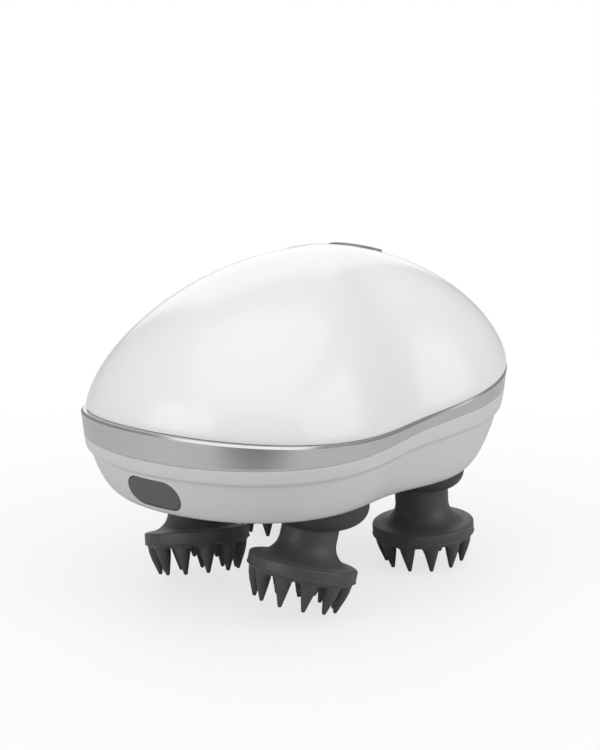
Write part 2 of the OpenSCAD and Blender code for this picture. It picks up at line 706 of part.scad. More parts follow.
clamp_w = 5;
clamp_x = 33;
clamp_wall = 1.2;
foot_t = 1.6;
foot_y = 13.5;
module motor_clamp() color(frame_grey) difference() {
    union() {
        box(clamp_x, worm_y, upper_plate_top, motor_z + motor_flat / 2 + clamp_wall, clamp_w,
            motor_d + 2 * clamp_wall);
        box(clamp_x, worm_y, upper_plate_top, upper_plate_top + foot_t, clamp_w, 2 * foot_y + clamp_w);
    }
    motor_form(holder_fit, clamp_x - clamp_w, clamp_x + clamp_w);
    for (side = [-1, 1]) translate([clamp_x, worm_y + side * foot_y, upper_plate_top - 1])
        cylinder(r = screw_r + screw_fit, h = 3 * foot_t, $fn = round_fn);
}
module clamp_screws() color(steel) for (side = [-1, 1])
    translate([clamp_x, worm_y + side * foot_y, upper_plate_top + foot_t])
        pan_screw(1.9, 1.1, screw_r, foot_t + plate_t - 0.2);

thread_pitch = PI * gear_module;
thread_turns = 4.75;
thread_steps = 16;
thread_slack = 0.34;
flank_tan = tan(pressure_angle);
thread_mid = thread_pitch / 2 - thread_slack;
worm_tip_r = worm_r + 0.9 * gear_module;
worm_root_r = worm_r - 1.2 * gear_module;
function thread_ring(angle) = let (
    x = thread_pitch * angle / 360,
    low = worm_root_r - 0.2,
    half_low = thread_mid / 2 + (worm_r - low) * flank_tan,
    half_tip = thread_mid / 2 - (worm_tip_r - worm_r) * flank_tan
) [for (p = [[-half_low, low], [-half_tip, worm_tip_r], [half_tip, worm_tip_r], [half_low, low]])
    [x + p[0], p[1] * cos(angle), p[1] * sin(angle)]];
module worm() color(brass) translate([centre_x, worm_y, motor_z]) difference() {
    union() {
        skin([for (i = [-thread_turns * thread_steps / 2:thread_turns * thread_steps / 2])
            thread_ring(i * 360 / thread_steps)]);
        translate([-worm_len / 2, 0, 0]) rotate([0, 90, 0])
            cylinder(r = worm_root_r, h = worm_len, $fn = round_fn);
    }
    translate([-worm_len, 0, 0]) rotate([0, 90, 0])
        cylinder(r = motor_shaft_r + press_fit, h = 2 * worm_len, $fn = round_fn);
}
module worm_bearing() color(frame_grey) difference() {
    bearing_w = 7;
    union() {
        box(shaft_x0 + bearing_t / 2, worm_y, upper_plate_top, motor_z, bearing_t, bearing_w);
        along_worm(shaft_x0) cylinder(r = bearing_w / 2, h = bearing_t, $fn = round_fn);
    }
    along_worm(shaft_x0 - 1) cylinder(r = motor_shaft_r + run_fit, h = bearing_t + 2, $fn = round_fn);
}

// --- Gears and gear plates ---
bush_r = 4;
bush_flange_r = 5;
bush_flange_t = 0.4;
hub_fit = 0.5;
head_rise = 1.4;
axle_head_r = 3.4;
boss_r = 6.5;
boss_gap = 0.55;
boss_reach = 2.4;
shaft_top = upper_plate_top + 0.4;
wheel_z = motor_z - wheel_face / 2;
wheel_top = wheel_z + wheel_face;
module centre_gear() color(gear_white) translate([centre_x, 0, 0]) difference() {
    union() {
        translate([0, 0, gear_z]) spur_gear(centre_teeth, backlash / 2, gear_face);
        translate([0, 0, gear_z]) cylinder(r = hub_r, h = wheel_top - gear_z, $fn = round_fn);
    }
    translate([0, 0, gear_z - 1]) cylinder(r = axle_r + run_fit, h = wheel_top, $fn = round_fn);
}
module worm_wheel() color(gear_white) translate([centre_x, 0, wheel_z]) difference() {
    spur_gear(wheel_teeth, thread_slack, wheel_face);
    translate([0, 0, -1]) cylinder(r = hub_r + press_fit, h = wheel_face + 2, $fn = round_fn);
}
module gear_axle() color(steel) translate([centre_x, 0, plate_z]) {
    cylinder(r = axle_r, h = wheel_top - plate_z + 0.3, $fn = round_fn);
    translate([0, 0, wheel_top - plate_z + 0.2]) cylinder(r = axle_head_r, h = 1, $fn = round_fn);
}
lower_plate_r = 7.5;
upper_plate_r = 8;
module plate_outline(r, extra) hull() {
    for (k = [0:3]) translate(SPINDLE[k]) circle(r = r, $fn = 32);
    for (p = extra) translate(p) circle(r = 4.5, $fn = 32);
}
module plate_holes(z) {
    for (k = [0:3]) at_spindle(k) translate([0, 0, z - 1])
        cylinder(r = bush_r + press_fit, h = plate_t + 2, $fn = round_fn);
    at_each(PILLAR) translate([0, 0, z - 1])
        cylinder(r = screw_r + screw_fit, h = plate_z, $fn = round_fn);
}
module lower_gear_plate() color(frame_grey) difference() {
    union() {
        translate([0, 0, plate_z]) linear_extrude(plate_t) plate_outline(lower_plate_r, PILLAR);
        at_each(PILLAR) translate([0, 0, plate_z])
            cylinder(r = post_r, h = upper_plate_z - plate_z, $fn = round_fn);
    }
    plate_holes(plate_z);
    translate([centre_x, 0, plate_z - 1]) cylinder(r = axle_r + press_fit, h = plate_t + 2, $fn = round_fn);
}
module upper_gear_plate() color(frame_grey) difference() {
    translate([0, 0, upper_plate_z]) linear_extrude(plate_t)
        plate_outline(upper_plate_r, [[clamp_x, worm_y - foot_y], [clamp_x, foot_y - worm_y]]);
    plate_holes(upper_plate_z);
    translate([centre_x, 0, upper_plate_z - 1]) cylinder(r = hub_r + hub_fit, h = plate_t + 2, $fn = round_fn);
    for (side = [-1, 1]) translate([clamp_x, worm_y + side * foot_y, upper_plate_z - 1])
        cylinder(r = screw_r + screw_fit, h = plate_t + 2, $fn = round_fn);
}
pillar_bite = 4.5;
module gearbox_screws() color(steel) at_each(PILLAR) translate([0, 0, upper_plate_top])
    pan_screw(screw_head_r, head_rise, screw_r, upper_plate_top - plate_z + pillar_bite);
module bush() {
    difference() {
        union() {
            cylinder(r = bush_r, h = plate_t, $fn = round_fn);
            translate([0, 0, plate_t]) cylinder(r = bush_flange_r, h = bush_flange_t, $fn = round_fn);
        }
        translate([0, 0, -1]) cylinder(r = shaft_r + run_fit, h = plate_t + 3, $fn = round_fn);
    }
}
module spindle_bushes() color(brass) for (k = [0:3]) at_spindle(k) {
    translate([0, 0, upper_plate_z]) bush();
    translate([0, 0, plate_z + plate_t]) mirror([0, 0, 1]) bush();
}
function mesh_turn(k) = let (
    toward = atan2(SPINDLE[k][1], SPINDLE[k][0] - centre_x)
) toward + 180 + 180 / spindle_teeth + toward * centre_teeth / spindle_teeth;
module spindle_gear(k) color(gear_white) at_spindle(k) translate([0, 0, gear_z]) difference() {
    rotate([0, 0, mesh_turn(k)]) spur_gear(spindle_teeth, backlash / 2, gear_face);
    translate([0, 0, -1]) cylinder(r = shaft_r + press_fit, h = gear_face + 2, $fn = round_fn);
}

// --- Spindles, hubs, heads and boots, in turn for each place k ---
pin_end = 2.9;
pin_tip_r = 1.5;
pin_tip_len = 1;
pin_root = 1;
module spindle(k) color(steel) {
    boss_top = plate_z - boss_gap;
    boss_low = pivot_z(k) - boss_reach;
    at_spindle(k) translate([0, 0, boss_low]) cylinder(r = boss_r, h = boss_top - boss_low, $fn = round_fn);
    at_spindle(k) translate([0, 0, boss_low + 1])
        cylinder(r = shaft_r, h = shaft_top - boss_low - 1, $fn = round_fn);
    on_pin(k) translate([0, 0, pin_end])
        cylinder(r = pin_r, h = head_arm + pin_root - pin_end, $fn = round_fn);
    on_pin(k) translate([0, 0, pin_end - pin_tip_len])
        cylinder(r = pin_tip_r, h = pin_tip_len + 1, $fn = round_fn);
}
clip_t = 0.7;
clip_r = 3.2;
module pin_clip(k) color(brass) on_pin(k) translate([0, 0, pin_end - clip_t])
    tube(clip_r, pin_tip_r + press_fit, clip_t);

hub_flange_r = 10.8;
hub_core_r = 5.4;
hub_low = -0.3;
hub_flange_top = 1.2;
clip_room_r = 3.6;
clip_room_top = 3.1;
module hub_form(grow) rotate_extrude($fn = round_fn) polygon([
    [0, hub_low - grow], [hub_flange_r + grow, hub_low - grow],
    [hub_flange_r + grow, hub_flange_top + grow], [hub_core_r + grow, hub_flange_top + grow],
    [hub_core_r + grow, neck_top + (grow > 0 ? 1 : 0)], [0, neck_top + (grow > 0 ? 1 : 0)]]);
module head_hub(k) color(gear_white) on_pin(k) difference() {
    hub_form(0);
    translate([0, 0, hub_low - 1]) cylinder(r = clip_room_r, h = clip_room_top - hub_low + 1, $fn = round_fn);
    cylinder(r = pin_r + run_fit, h = neck_top + 1, $fn = round_fn);
}

rim_round = 0.6;
head_fn = 64;
flare_steps = 6;
module head_body() rotate_extrude($fn = head_fn) polygon(concat(
    [[0, -disc_under], [disc_r - chamfer, -disc_under], [disc_r, -rim_low], [disc_r, rim_h - rim_low],
        [disc_r - rim_round, rim_h - rim_low + rim_round * 0.85]],
    [for (i = [0:flare_steps]) let (a = 270 - 90 * i / flare_steps) [
        neck_r + flare_r + flare_r * cos(a),
        rim_h - rim_low + rim_round + flare_r + flare_r * sin(a)]],
    [[neck_r, neck_top], [0, neck_top]]));
root_flare = 0.45;
module prong(len, root_r) rotate_extrude($fn = 24) polygon(concat(
    [[0, 0.5], [root_r + root_flare, 0.5], [root_r + root_flare, 0], [root_r, -root_flare]],
    [for (a = [10, 40, 70]) [prong_tip_r * cos(a), -len + prong_tip_r * (1 - sin(a))]],
    [[0, -len]]));
module massage_head(k) color(silicone_grey) on_pin(k) {
    difference() {
        head_body();
        hub_form(press_fit);
    }
    translate([0, 0, -disc_under]) {
        rotate([0, 0, 180 + PRONG_TURN[k]]) ring_of(outer_prongs) translate([outer_ring_r, 0, 0])
            rotate([0, prong_slant, 0]) prong(outer_prong_len, prong_root_r);
        ring_of(inner_prongs) translate([inner_ring_r, 0, 0]) prong(inner_prong_len, prong_root_r * 0.85);
        prong(inner_prong_len * 0.9, prong_root_r * 0.85);
    }
}

boot_steps = 5;
module boot(k) color(boot_grey) difference() {
    seat = seat_z(k);
    at_spindle(k) rotate_extrude($fn = head_fn) polygon(concat(
        [[boot_in_r, seat + boot_flange_t]],
        [for (i = [0:boot_steps]) let (a = -90 * i / boot_steps) [
            boot_r - boot_round + (boot_round - boot_wall) * cos(a),
            boot_z + boot_round + (boot_round - boot_wall) * sin(a)]],
        [[0, boot_z + boot_wall], [0, boot_z]],
        [for (i = [boot_steps:-1:0]) let (a = -90 * i / boot_steps) [
            boot_r - boot_round + boot_round * cos(a), boot_z + boot_round + boot_round * sin(a)]],
        [[boot_r, seat], [boot_flange_r, seat], [boot_flange_r, seat + boot_flange_t]]));
    on_pin(k) translate([0, 0, neck_top / 2 - 3])
        cylinder(r = neck_r + boot_gap, h = neck_top / 2 + 3, $fn = head_fn);
}
module boot_rings() color(frame_grey) for (k = [0:3]) at_spindle(k)
    translate([0, 0, seat_z(k) + boot_flange_t])
        tube(boot_flange_r, boot_in_r, boot_ring_h);

// --- Fasteners of the housing ---
module case_screws() color(steel) at_each(CASE_POST) translate([0, 0, screw_seat_z]) rotate([180, 0, 0])
    pan_screw(screw_head_r, head_rise, screw_r, screw_len);
cap_sink = 0.1;
module screw_caps() color(white_satin) for (p = CASE_POST) let (z = floor_at(p[0]) + cap_sink)
    translate([p[0], p[1], z])
        cylinder(r = counterbore_r - press_fit, h = screw_seat_z - head_rise - 0.05 - z, $fn = round_fn);

upper_shell();
trim_band();
lower_shell();
seal_ring();
button();
switch_plunger();
tact_switch();
control_board();
board_chips();
board_screws();
port_cover();
charge_socket();
charge_board();
battery();
battery_cradle();
battery_strap();
motor();
motor_clamp();
clamp_screws();
motor_shaft();
worm();
worm_bearing();
centre_gear();
worm_wheel();
gear_axle();
lower_gear_plate();
upper_gear_plate();
gearbox_screws();
spindle_bushes();
spindle(0);  // spindle_front_left
spindle(1);  // spindle_front_right
spindle(2);  // spindle_rear_left
spindle(3);  // spindle_rear_right
spindle_gear(0);  // gear_front_left
spindle_gear(1);  // gear_front_right
spindle_gear(2);  // gear_rear_left
spindle_gear(3);  // gear_rear_right
pin_clip(0);  // clip_front_left
pin_clip(1);  // clip_front_right
pin_clip(2);  // clip_rear_left
pin_clip(3);  // clip_rear_right
head_hub(0);  // hub_front_left
head_hub(1);  // hub_front_right
head_hub(2);  // hub_rear_left
head_hub(3);  // hub_rear_right
massage_head(0);  // head_front_left
massage_head(1);  // head_front_right
massage_head(2);  // head_rear_left
massage_head(3);  // head_rear_right
boot(0);  // boot_front_left
boot(1);  // boot_front_right
boot(2);  // boot_rear_left
boot(3);  // boot_rear_right
boot_rings();
case_screws();
screw_caps();
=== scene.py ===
"""Looks of the electric scalp massager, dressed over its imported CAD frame.

The housing is an egg with a waist: a glossy white dome, a silver trim band and
a satin lower shell, with four silicone kneading heads that stand in soft boots.
Sizes are in millimetres in the classes below, and become metres when a mesh
is finished.
"""
from __future__ import annotations

import json
import logging
import math
from dataclasses import dataclass, field
from enum import Enum
from typing import Callable, Sequence

import bmesh
import bpy
from mathutils import Matrix, Vector

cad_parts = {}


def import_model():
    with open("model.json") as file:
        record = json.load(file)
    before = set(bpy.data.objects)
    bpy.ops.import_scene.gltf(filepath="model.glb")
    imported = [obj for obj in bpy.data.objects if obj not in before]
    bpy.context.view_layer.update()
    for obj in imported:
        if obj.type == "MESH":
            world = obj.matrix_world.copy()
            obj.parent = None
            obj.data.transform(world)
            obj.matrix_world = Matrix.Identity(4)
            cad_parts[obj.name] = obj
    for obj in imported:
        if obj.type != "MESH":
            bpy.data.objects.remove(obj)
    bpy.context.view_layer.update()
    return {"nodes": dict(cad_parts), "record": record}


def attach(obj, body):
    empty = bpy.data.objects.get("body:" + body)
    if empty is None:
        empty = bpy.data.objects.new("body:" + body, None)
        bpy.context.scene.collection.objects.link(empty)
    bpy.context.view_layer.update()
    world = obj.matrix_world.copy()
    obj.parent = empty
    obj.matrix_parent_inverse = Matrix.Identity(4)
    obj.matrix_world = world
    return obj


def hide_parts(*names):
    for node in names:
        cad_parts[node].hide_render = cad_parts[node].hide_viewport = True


LOG = logging.getLogger("scalp_massager")
MM = 0.001
FULL_TURN = 2.0 * math.pi
WELD = 1e-5  # millimetres within which vertices are merged
HALVINGS = 36  # steps of a search that halves its span
WHITE = (1.0, 1.0, 1.0, 1.0)
FINE_RELIEF = 0.00001  # metres of relief of a fine grain
NOISE_SPAN = (0.3, 0.7)  # the part of a noise that a finish spreads over its tones

BMesh = bmesh.types.BMesh
Ring = Callable[[float], Vector]
Colour = tuple[float, float, float]
Place = tuple[float, float, float]
Span = tuple[float, float]
Profile = list[tuple[float, float]]


class Side(Enum):
    """The four places of a kneading head; left is -Y and front is the nose."""

    FRONT_LEFT = "front_left"
    FRONT_RIGHT = "front_right"
    REAR_LEFT = "rear_left"
    REAR_RIGHT = "rear_right"


class Finish(Enum):
    """The finishes of this object, by the record's material slots."""

    DOME = "dome_white"
    SHELL = "shell_white"
    BAND = "band_silver"
    BUTTON = "button_silver"
    HEAD = "head_silicone"
    BOOT = "boot_silicone"
    COVER = "cover_rubber"
    SEAL = "seal_rubber"
    STEEL = "steel"
    BRASS = "brass"
    GEAR = "gear_plastic"
    FRAME = "frame_plastic"
    BLACK = "black_plastic"
    CIRCUIT = "circuit_board"
    CELL = "cell_wrap"


# ---------------------------------------------------------------- shader wires


@dataclass(frozen=True)
class Wire:
    """A value on its way through a material, with plain arithmetic."""

    maker: "Wiring"
    socket: bpy.types.NodeSocket

    def _math(self, operation: str, other: "Wire | float", swap: bool = False) -> "Wire":
        """Joins this value and another with one Math node.

        Args:
            operation: The Math node's operation.
            other: The second value.
            swap: Whether the other value comes first.

        Returns:
            The result.
        """
        first, second = (other, self) if swap else (self, other)
        return self.maker.node("ShaderNodeMath", "Value", {0: first, 1: second},
                               operation=operation)

    def __add__(self, other: "Wire | float") -> "Wire":
        """Adds a value."""
        return self._math("ADD", other)

    def __sub__(self, other: "Wire | float") -> "Wire":
        """Takes a value away."""
        return self._math("SUBTRACT", other)

    def __rsub__(self, other: float) -> "Wire":
        """Takes this value away from a number."""
        return self._math("SUBTRACT", other, swap=True)

    def __mul__(self, other: "Wire | float") -> "Wire":
        """Multiplies by a value."""
        return self._math("MULTIPLY", other)

    __radd__ = __add__
    __rmul__ = __mul__

    def above(self, limit: float) -> "Wire":
        """Gives one where the value is above a limit, and zero elsewhere."""
        return self._math("GREATER_THAN", limit)

    def wave(self) -> "Wire":
        """Gives the sine of the value."""
        return self.maker.node("ShaderNodeMath", "Value", {0: self}, operation="SINE")

    def between(self, low: float, high: float, to_low: float = 0.0,
                to_high: float = 1.0) -> "Wire":
        """Maps a span of the value to another span, clamped.

        Args:
            low: Start of the span.
            high: End of the span.
            to_low: Value given at the start.
            to_high: Value given at the end.

        Returns:
            The mapped value.
        """
        return self.maker.node(
            "ShaderNodeMapRange", "Result", {0: self, 1: low, 2: high, 3: to_low, 4: to_high}
        )


class Wiring:
    """A node tree whose nodes are made by plain calls."""

    def __init__(self, tree: bpy.types.NodeTree, output: str) -> None:
        """Empties the tree and starts it with its output.

        Args:
            tree: The tree of a material or a world.
            output: Type of the output node.
        """
        self.tree = tree
        self.tree.nodes.clear()
        self.output = self.tree.nodes.new(output)

    def node(self, kind: str, out: str | int, values: dict | None = None,
             **settings: object) -> Wire:
        """Makes one node and fills its inputs.

        Args:
            kind: The node's type.
            out: Name or number of the output that is wanted.
            values: Input name or number to a number, colour or wire.
            **settings: Properties set on the node itself.

        Returns:
            The wanted output.
        """
        made = self.tree.nodes.new(kind)
        for key, value in settings.items():
            setattr(made, key, value)
        for key, value in (values or {}).items():
            self._fill(made.inputs[key], value)
        return Wire(self, made.outputs[out])

    def _fill(self, socket: bpy.types.NodeSocket, value: object) -> None:
        """Sets a socket to a constant, or links a wire to it."""
        if isinstance(value, Wire):
            self.tree.links.new(value.socket, socket)
        else:
            socket.default_value = value

    def show(self, surface: Wire) -> None:
        """Links a shader to the output."""
        self.tree.links.new(surface.socket, self.output.inputs["Surface"])

    def show_mixed(self, first: Wire, second: Wire, factor: Wire) -> None:
        """Links a mix of two shaders to the output.

        Args:
            first: Shader shown where the factor is zero.
            second: Shader shown where it is one.
            factor: The mixing factor.
        """
        self.show(self.node("ShaderNodeMixShader", 0, {0: factor, 1: first, 2: second}))

    def seen(self) -> Wire:
        """Gives one for what the camera sees directly, and zero for light and reflections."""
        return self.node("ShaderNodeLightPath", "Is Camera Ray")


class Shader(Wiring):
    """One material, with a Principled shader as its surface."""

    def __init__(self, name: str) -> None:
        """Starts an empty material.

        Args:
            name: Name of the material.
        """
        self.material = bpy.data.materials.new(name)
        self.material.use_nodes = True
        super().__init__(self.material.node_tree, "ShaderNodeOutputMaterial")
        self.surface = self.node("ShaderNodeBsdfPrincipled", 0)
        self.show(self.surface)

    def plain(self, **values: float) -> None:
        """Sets constants on the Principled shader, by input name with underscores."""
        for key, value in values.items():
            self._fill(self.surface.socket.node.inputs[key.replace("_", " ")], value)

    def feed(self, name: str, value: Wire) -> None:
        """Links a varying value to an input of the Principled shader."""
        self._fill(self.surface.socket.node.inputs[name], value)

    def place(self) -> Wire:
        """Gives the Object coordinates."""
        return self.node("ShaderNodeTexCoord", "Object")

    def uv(self) -> Wire:
        """Gives the piece's own UV map."""
        return self.node("ShaderNodeTexCoord", "UV")

    def part_of(self, vector: Wire, axis: str) -> Wire:
        """Gives one coordinate of a vector."""
        return self.node("ShaderNodeSeparateXYZ", axis, {0: vector})

    def noise(self, vector: Wire, scale: float, detail: float = 3.0, rough: float = 0.5,
              stretch: Place = (1.0, 1.0, 1.0)) -> Wire:
        """Makes a noise texture.

        Args:
            vector: Coordinates.
            scale: Scale of the noise in cells per metre.
            detail: Octaves.
            rough: Weight of the finer octaves.
            stretch: Scale of each coordinate before the noise.

        Returns:
            The noise, about one half on average.
        """
        mapped = self.node("ShaderNodeMapping", 0, {"Vector": vector, "Scale": stretch})
        return self.node(
            "ShaderNodeTexNoise", 0,
            {"Vector": mapped, "Scale": scale, "Detail": detail, "Roughness": rough},
        )

    def tint(self, factor: Wire, low: Colour, high: Colour) -> Wire:
        """Mixes two colours by a factor.

        Args:
            factor: Mixing factor.
            low: Colour at zero.
            high: Colour at one.

        Returns:
            The colour.
        """
        return self.node("ShaderNodeMix", 2, {0: factor, 6: (*low, 1.0), 7: (*high, 1.0)},
                         data_type="RGBA")

    def bump(self, height: Wire, strength: float, distance: float = FINE_RELIEF) -> None:
        """Feeds a height into the Normal input.

        Args:
            height: Height, zero to one.
            strength: Strength of the bump.
            distance: Depth in metres.
        """
        self.feed("Normal", self.node(
            "ShaderNodeBump", "Normal",
            {"Height": height, "Strength": strength, "Distance": distance},
        ))


# -------------------------------------------------------------------- finishes


@dataclass(frozen=True)
class Moulded:
    """A moulded or rubbery finish with tone variation and a fine grain."""

    low: Colour
    high: Colour
    roughness: Span
    grain_scale: float = 2600.0
    grain_depth: float = FINE_RELIEF
    grain_strength: float = 0.3
    coat: float = 0.0
    coat_roughness: float = 0.1
    sheen: float = 0.0
    metallic: float = 0.0
    mottle_scale: float = 60.0
    smudge_share: float = 2.7

    def build(self, name: str) -> bpy.types.Material:
        """Makes the material.

        Args:
            name: Name of the material.

        Returns:
            The material.
        """
        shader = Shader(name)
        place = shader.place()
        mottle = shader.noise(place, self.mottle_scale, detail=4.0)
        smudge = shader.noise(place, self.mottle_scale * self.smudge_share, detail=2.0)
        shader.feed("Base Color", shader.tint(mottle.between(*NOISE_SPAN), self.low, self.high))
        shader.feed("Roughness", smudge.between(*NOISE_SPAN, *self.roughness))
        grain = shader.noise(place, self.grain_scale, detail=2.0)
        shader.bump(grain, self.grain_strength, self.grain_depth)
        shader.plain(Coat_Weight=self.coat, Coat_Roughness=self.coat_roughness,
                     Sheen_Weight=self.sheen, Metallic=self.metallic)
        return shader.material


@dataclass(frozen=True)
class BrushedBand:
    """Satin silver with fine lines that run along the seam."""

    low: Colour = (0.58, 0.58, 0.59)
    high: Colour = (0.78, 0.78, 0.79)
    roughness: Span = (0.14, 0.28)
    line_stretch: Place = (30.0, 260.0, 1.0)
    patch_scale: float = 55.0

    def build(self, name: str) -> bpy.types.Material:
        """Makes the material from the band's own UV map.

        Args:
            name: Name of the material.

        Returns:
            The material.
        """
        shader = Shader(name)
        lines = shader.noise(shader.uv(), 1.0, detail=5.0, rough=0.7, stretch=self.line_stretch)
        patch = shader.noise(shader.place(), self.patch_scale)
        shader.feed("Base Color", shader.tint(lines.between(*NOISE_SPAN), self.low, self.high))
        shader.feed("Roughness", (lines * 0.5 + patch * 0.5).between(0.35, 0.65, *self.roughness))
        shader.bump(lines, 0.25)
        shader.plain(Metallic=1.0)
        return shader.material


@dataclass(frozen=True)
class TurnedMetal:
    """Machined metal with fine rings of tool marks."""

    low: Colour
    high: Colour
    roughness: Span = (0.22, 0.4)
    mark_scale: float = 350.0
    mark_stretch: Place = (1.0, 1.0, 9.0)
    patch_scale: float = 90.0

    def build(self, name: str) -> bpy.types.Material:
        """Makes the material.

        Args:
            name: Name of the material.

        Returns:
            The material.
        """
        shader = Shader(name)
        place = shader.place()
        marks = shader.noise(place, self.mark_scale, detail=4.0, stretch=self.mark_stretch)
        patch = shader.noise(place, self.patch_scale)
        shader.feed("Base Color", shader.tint(patch.between(*NOISE_SPAN), self.low, self.high))
        shader.feed("Roughness", marks.between(*NOISE_SPAN, *self.roughness))
        shader.bump(marks, 0.2)
        shader.plain(Metallic=1.0)
        return shader.material


@dataclass(frozen=True)
class CircuitLacquer:
    """Green lacquer over faint copper tracks."""

    lacquer: Colour = (0.012, 0.12, 0.05)
    track: Colour = (0.03, 0.2, 0.08)
    pitch: float = 0.0016
    wander: float = 9.0
    relief: float = 0.00003
    roughness: Span = (0.25, 0.38)

    def build(self, name: str) -> bpy.types.Material:
        """Makes the material.

        Args:
            name: Name of the material.

        Returns:
            The material.
        """
        shader = Shader(name)
        place = shader.place()
        across = shader.part_of(place, "Y")
        drift = shader.noise(place, 120.0, detail=0.0) * self.wander
        tracks = (across * (FULL_TURN / self.pitch) + drift).wave().above(0.35)
        shader.feed("Base Color", shader.tint(tracks, self.lacquer, self.track))
        patch = shader.noise(place, 400.0)
        shader.feed("Roughness", patch.between(*NOISE_SPAN, *self.roughness))
        shader.bump(tracks, 0.3, self.relief)
        shader.plain(Coat_Weight=0.4)
        return shader.material


FINISHES: dict[Finish, Moulded | BrushedBand | TurnedMetal | CircuitLacquer] = {
    Finish.DOME: Moulded((0.87, 0.87, 0.875), (0.9, 0.9, 0.9), (0.22, 0.26), grain_scale=900.0,
                         grain_strength=0.04, coat=0.16, coat_roughness=0.16, mottle_scale=22.0),
    Finish.SHELL: Moulded((0.66, 0.66, 0.663), (0.71, 0.71, 0.713), (0.36, 0.46),
                          grain_scale=3200.0, grain_depth=0.00002, mottle_scale=30.0),
    Finish.BAND: BrushedBand(),
    Finish.BUTTON: Moulded((0.21, 0.21, 0.215), (0.27, 0.27, 0.275), (0.36, 0.44), metallic=0.3,
                           grain_scale=2200.0, grain_strength=0.15),
    Finish.HEAD: Moulded((0.048, 0.048, 0.048), (0.061, 0.061, 0.062), (0.42, 0.52), sheen=0.1,
                         grain_scale=1800.0, grain_depth=0.00003, grain_strength=0.25),
    Finish.BOOT: Moulded((0.032, 0.032, 0.032), (0.043, 0.043, 0.043), (0.5, 0.62), sheen=0.04,
                         grain_scale=1800.0, grain_depth=0.00003, grain_strength=0.25),
    Finish.COVER: Moulded((0.105, 0.105, 0.107), (0.125, 0.125, 0.127), (0.55, 0.7),
                          grain_scale=2400.0, grain_depth=0.00005, grain_strength=0.4),
    Finish.SEAL: Moulded((0.02, 0.02, 0.02), (0.03, 0.03, 0.03), (0.6, 0.75)),
    Finish.STEEL: TurnedMetal((0.5, 0.51, 0.53), (0.62, 0.63, 0.65)),
    Finish.BRASS: TurnedMetal((0.66, 0.5, 0.22), (0.8, 0.63, 0.32)),
    Finish.GEAR: Moulded((0.72, 0.69, 0.6), (0.8, 0.77, 0.68), (0.35, 0.5)),
    Finish.FRAME: Moulded((0.2, 0.215, 0.235), (0.26, 0.275, 0.3), (0.4, 0.55)),
    Finish.BLACK: Moulded((0.012, 0.012, 0.014), (0.022, 0.022, 0.024), (0.4, 0.55)),
    Finish.CIRCUIT: CircuitLacquer(),
    Finish.CELL: Moulded((0.02, 0.08, 0.28), (0.03, 0.11, 0.36), (0.2, 0.3), coat=0.4,
                         grain_strength=0.05),
}


class Paintbox:
    """Makes each finish once and hands it out."""

    def __init__(self) -> None:
        """Starts with no finish made."""
        self.made: dict[Finish, bpy.types.Material] = {}

    def take(self, finish: Finish) -> bpy.types.Material:
        """Gives the material of a finish.

        Args:
            finish: The finish.

        Returns:
            Its material.
        """
        if finish not in self.made:
            self.made[finish] = FINISHES[finish].build(finish.value)
        return self.made[finish]


# --------------------------------------------------------------- mesh helpers


@dataclass
class Workshop:
    """Finishes a bmesh into a piece that rides on a body."""

    paints: Paintbox = field(default_factory=Paintbox)

    def carved(self, mesh: BMesh, cutters: Sequence[BMesh], name: str) -> bpy.types.Mesh:
        """Cuts closed forms out of a mesh.

        Args:
            mesh: The mesh, which is used up.
            cutters: The forms, which are used up.
            name: Name of the result.

        Returns:
            The mesh data.
        """
        if cutters:
            bmesh.ops.triangulate(mesh, faces=[face for face in mesh.faces if len(face.verts) > 4])
        data = bpy.data.meshes.new(name)
        mesh.to_mesh(data)
        mesh.free()
        if not cutters:
            return data
        bench = bpy.context.scene.collection
        blank = bpy.data.objects.new("blank", data)
        bench.objects.link(blank)
        tools = []
        for form in cutters:
            bmesh.ops.recalc_face_normals(form, faces=form.faces)
            tool_data = bpy.data.meshes.new("tool")
            form.to_mesh(tool_data)
            form.free()
            tool = bpy.data.objects.new("tool", tool_data)
            bench.objects.link(tool)
            cut = blank.modifiers.new("cut", "BOOLEAN")
            cut.operation, cut.solver, cut.object = "DIFFERENCE", "MANIFOLD", tool
            tools.append(tool)
        shown = blank.evaluated_get(bpy.context.evaluated_depsgraph_get())
        result = bpy.data.meshes.new_from_object(shown)
        result.name = name
        for made in [blank, *tools]:
            old = made.data
            bpy.data.objects.remove(made)
            bpy.data.meshes.remove(old)
        return result

    def piece(self, mesh: BMesh, name: str, finish: Finish, body: str, replaces: str,
              sharp: float = 50.0, cutters: Sequence[BMesh] = ()) -> None:
        """Turns a bmesh in millimetres into a finished object in metres.

        Args:
            mesh: The bmesh, which is used up.
            name: Name of the piece.
            finish: Its finish.
            body: The body that it rides on.
            replaces: The CAD node that it stands for.
            sharp: Angle in degrees above which an edge is shaded sharp.
            cutters: Closed forms in millimetres that are cut out of it.
        """
        bmesh.ops.remove_doubles(mesh, verts=mesh.verts, dist=WELD)
        bmesh.ops.recalc_face_normals(mesh, faces=mesh.faces)
        data = self.carved(mesh, cutters, name)
        data.transform(Matrix.Scale(MM, 4))
        data.materials.clear()
        data.materials.append(self.paints.take(finish))
        data.polygons.foreach_set("material_index", [0] * len(data.polygons))
        data.shade_smooth()
        data.set_sharp_from_angle(angle=math.radians(sharp))
        made = bpy.data.objects.new(name, data)
        bpy.context.scene.collection.objects.link(made)
        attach(made, body)
        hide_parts(replaces)
        LOG.info("%s: %d faces, rides on %s", name, len(data.polygons), body)


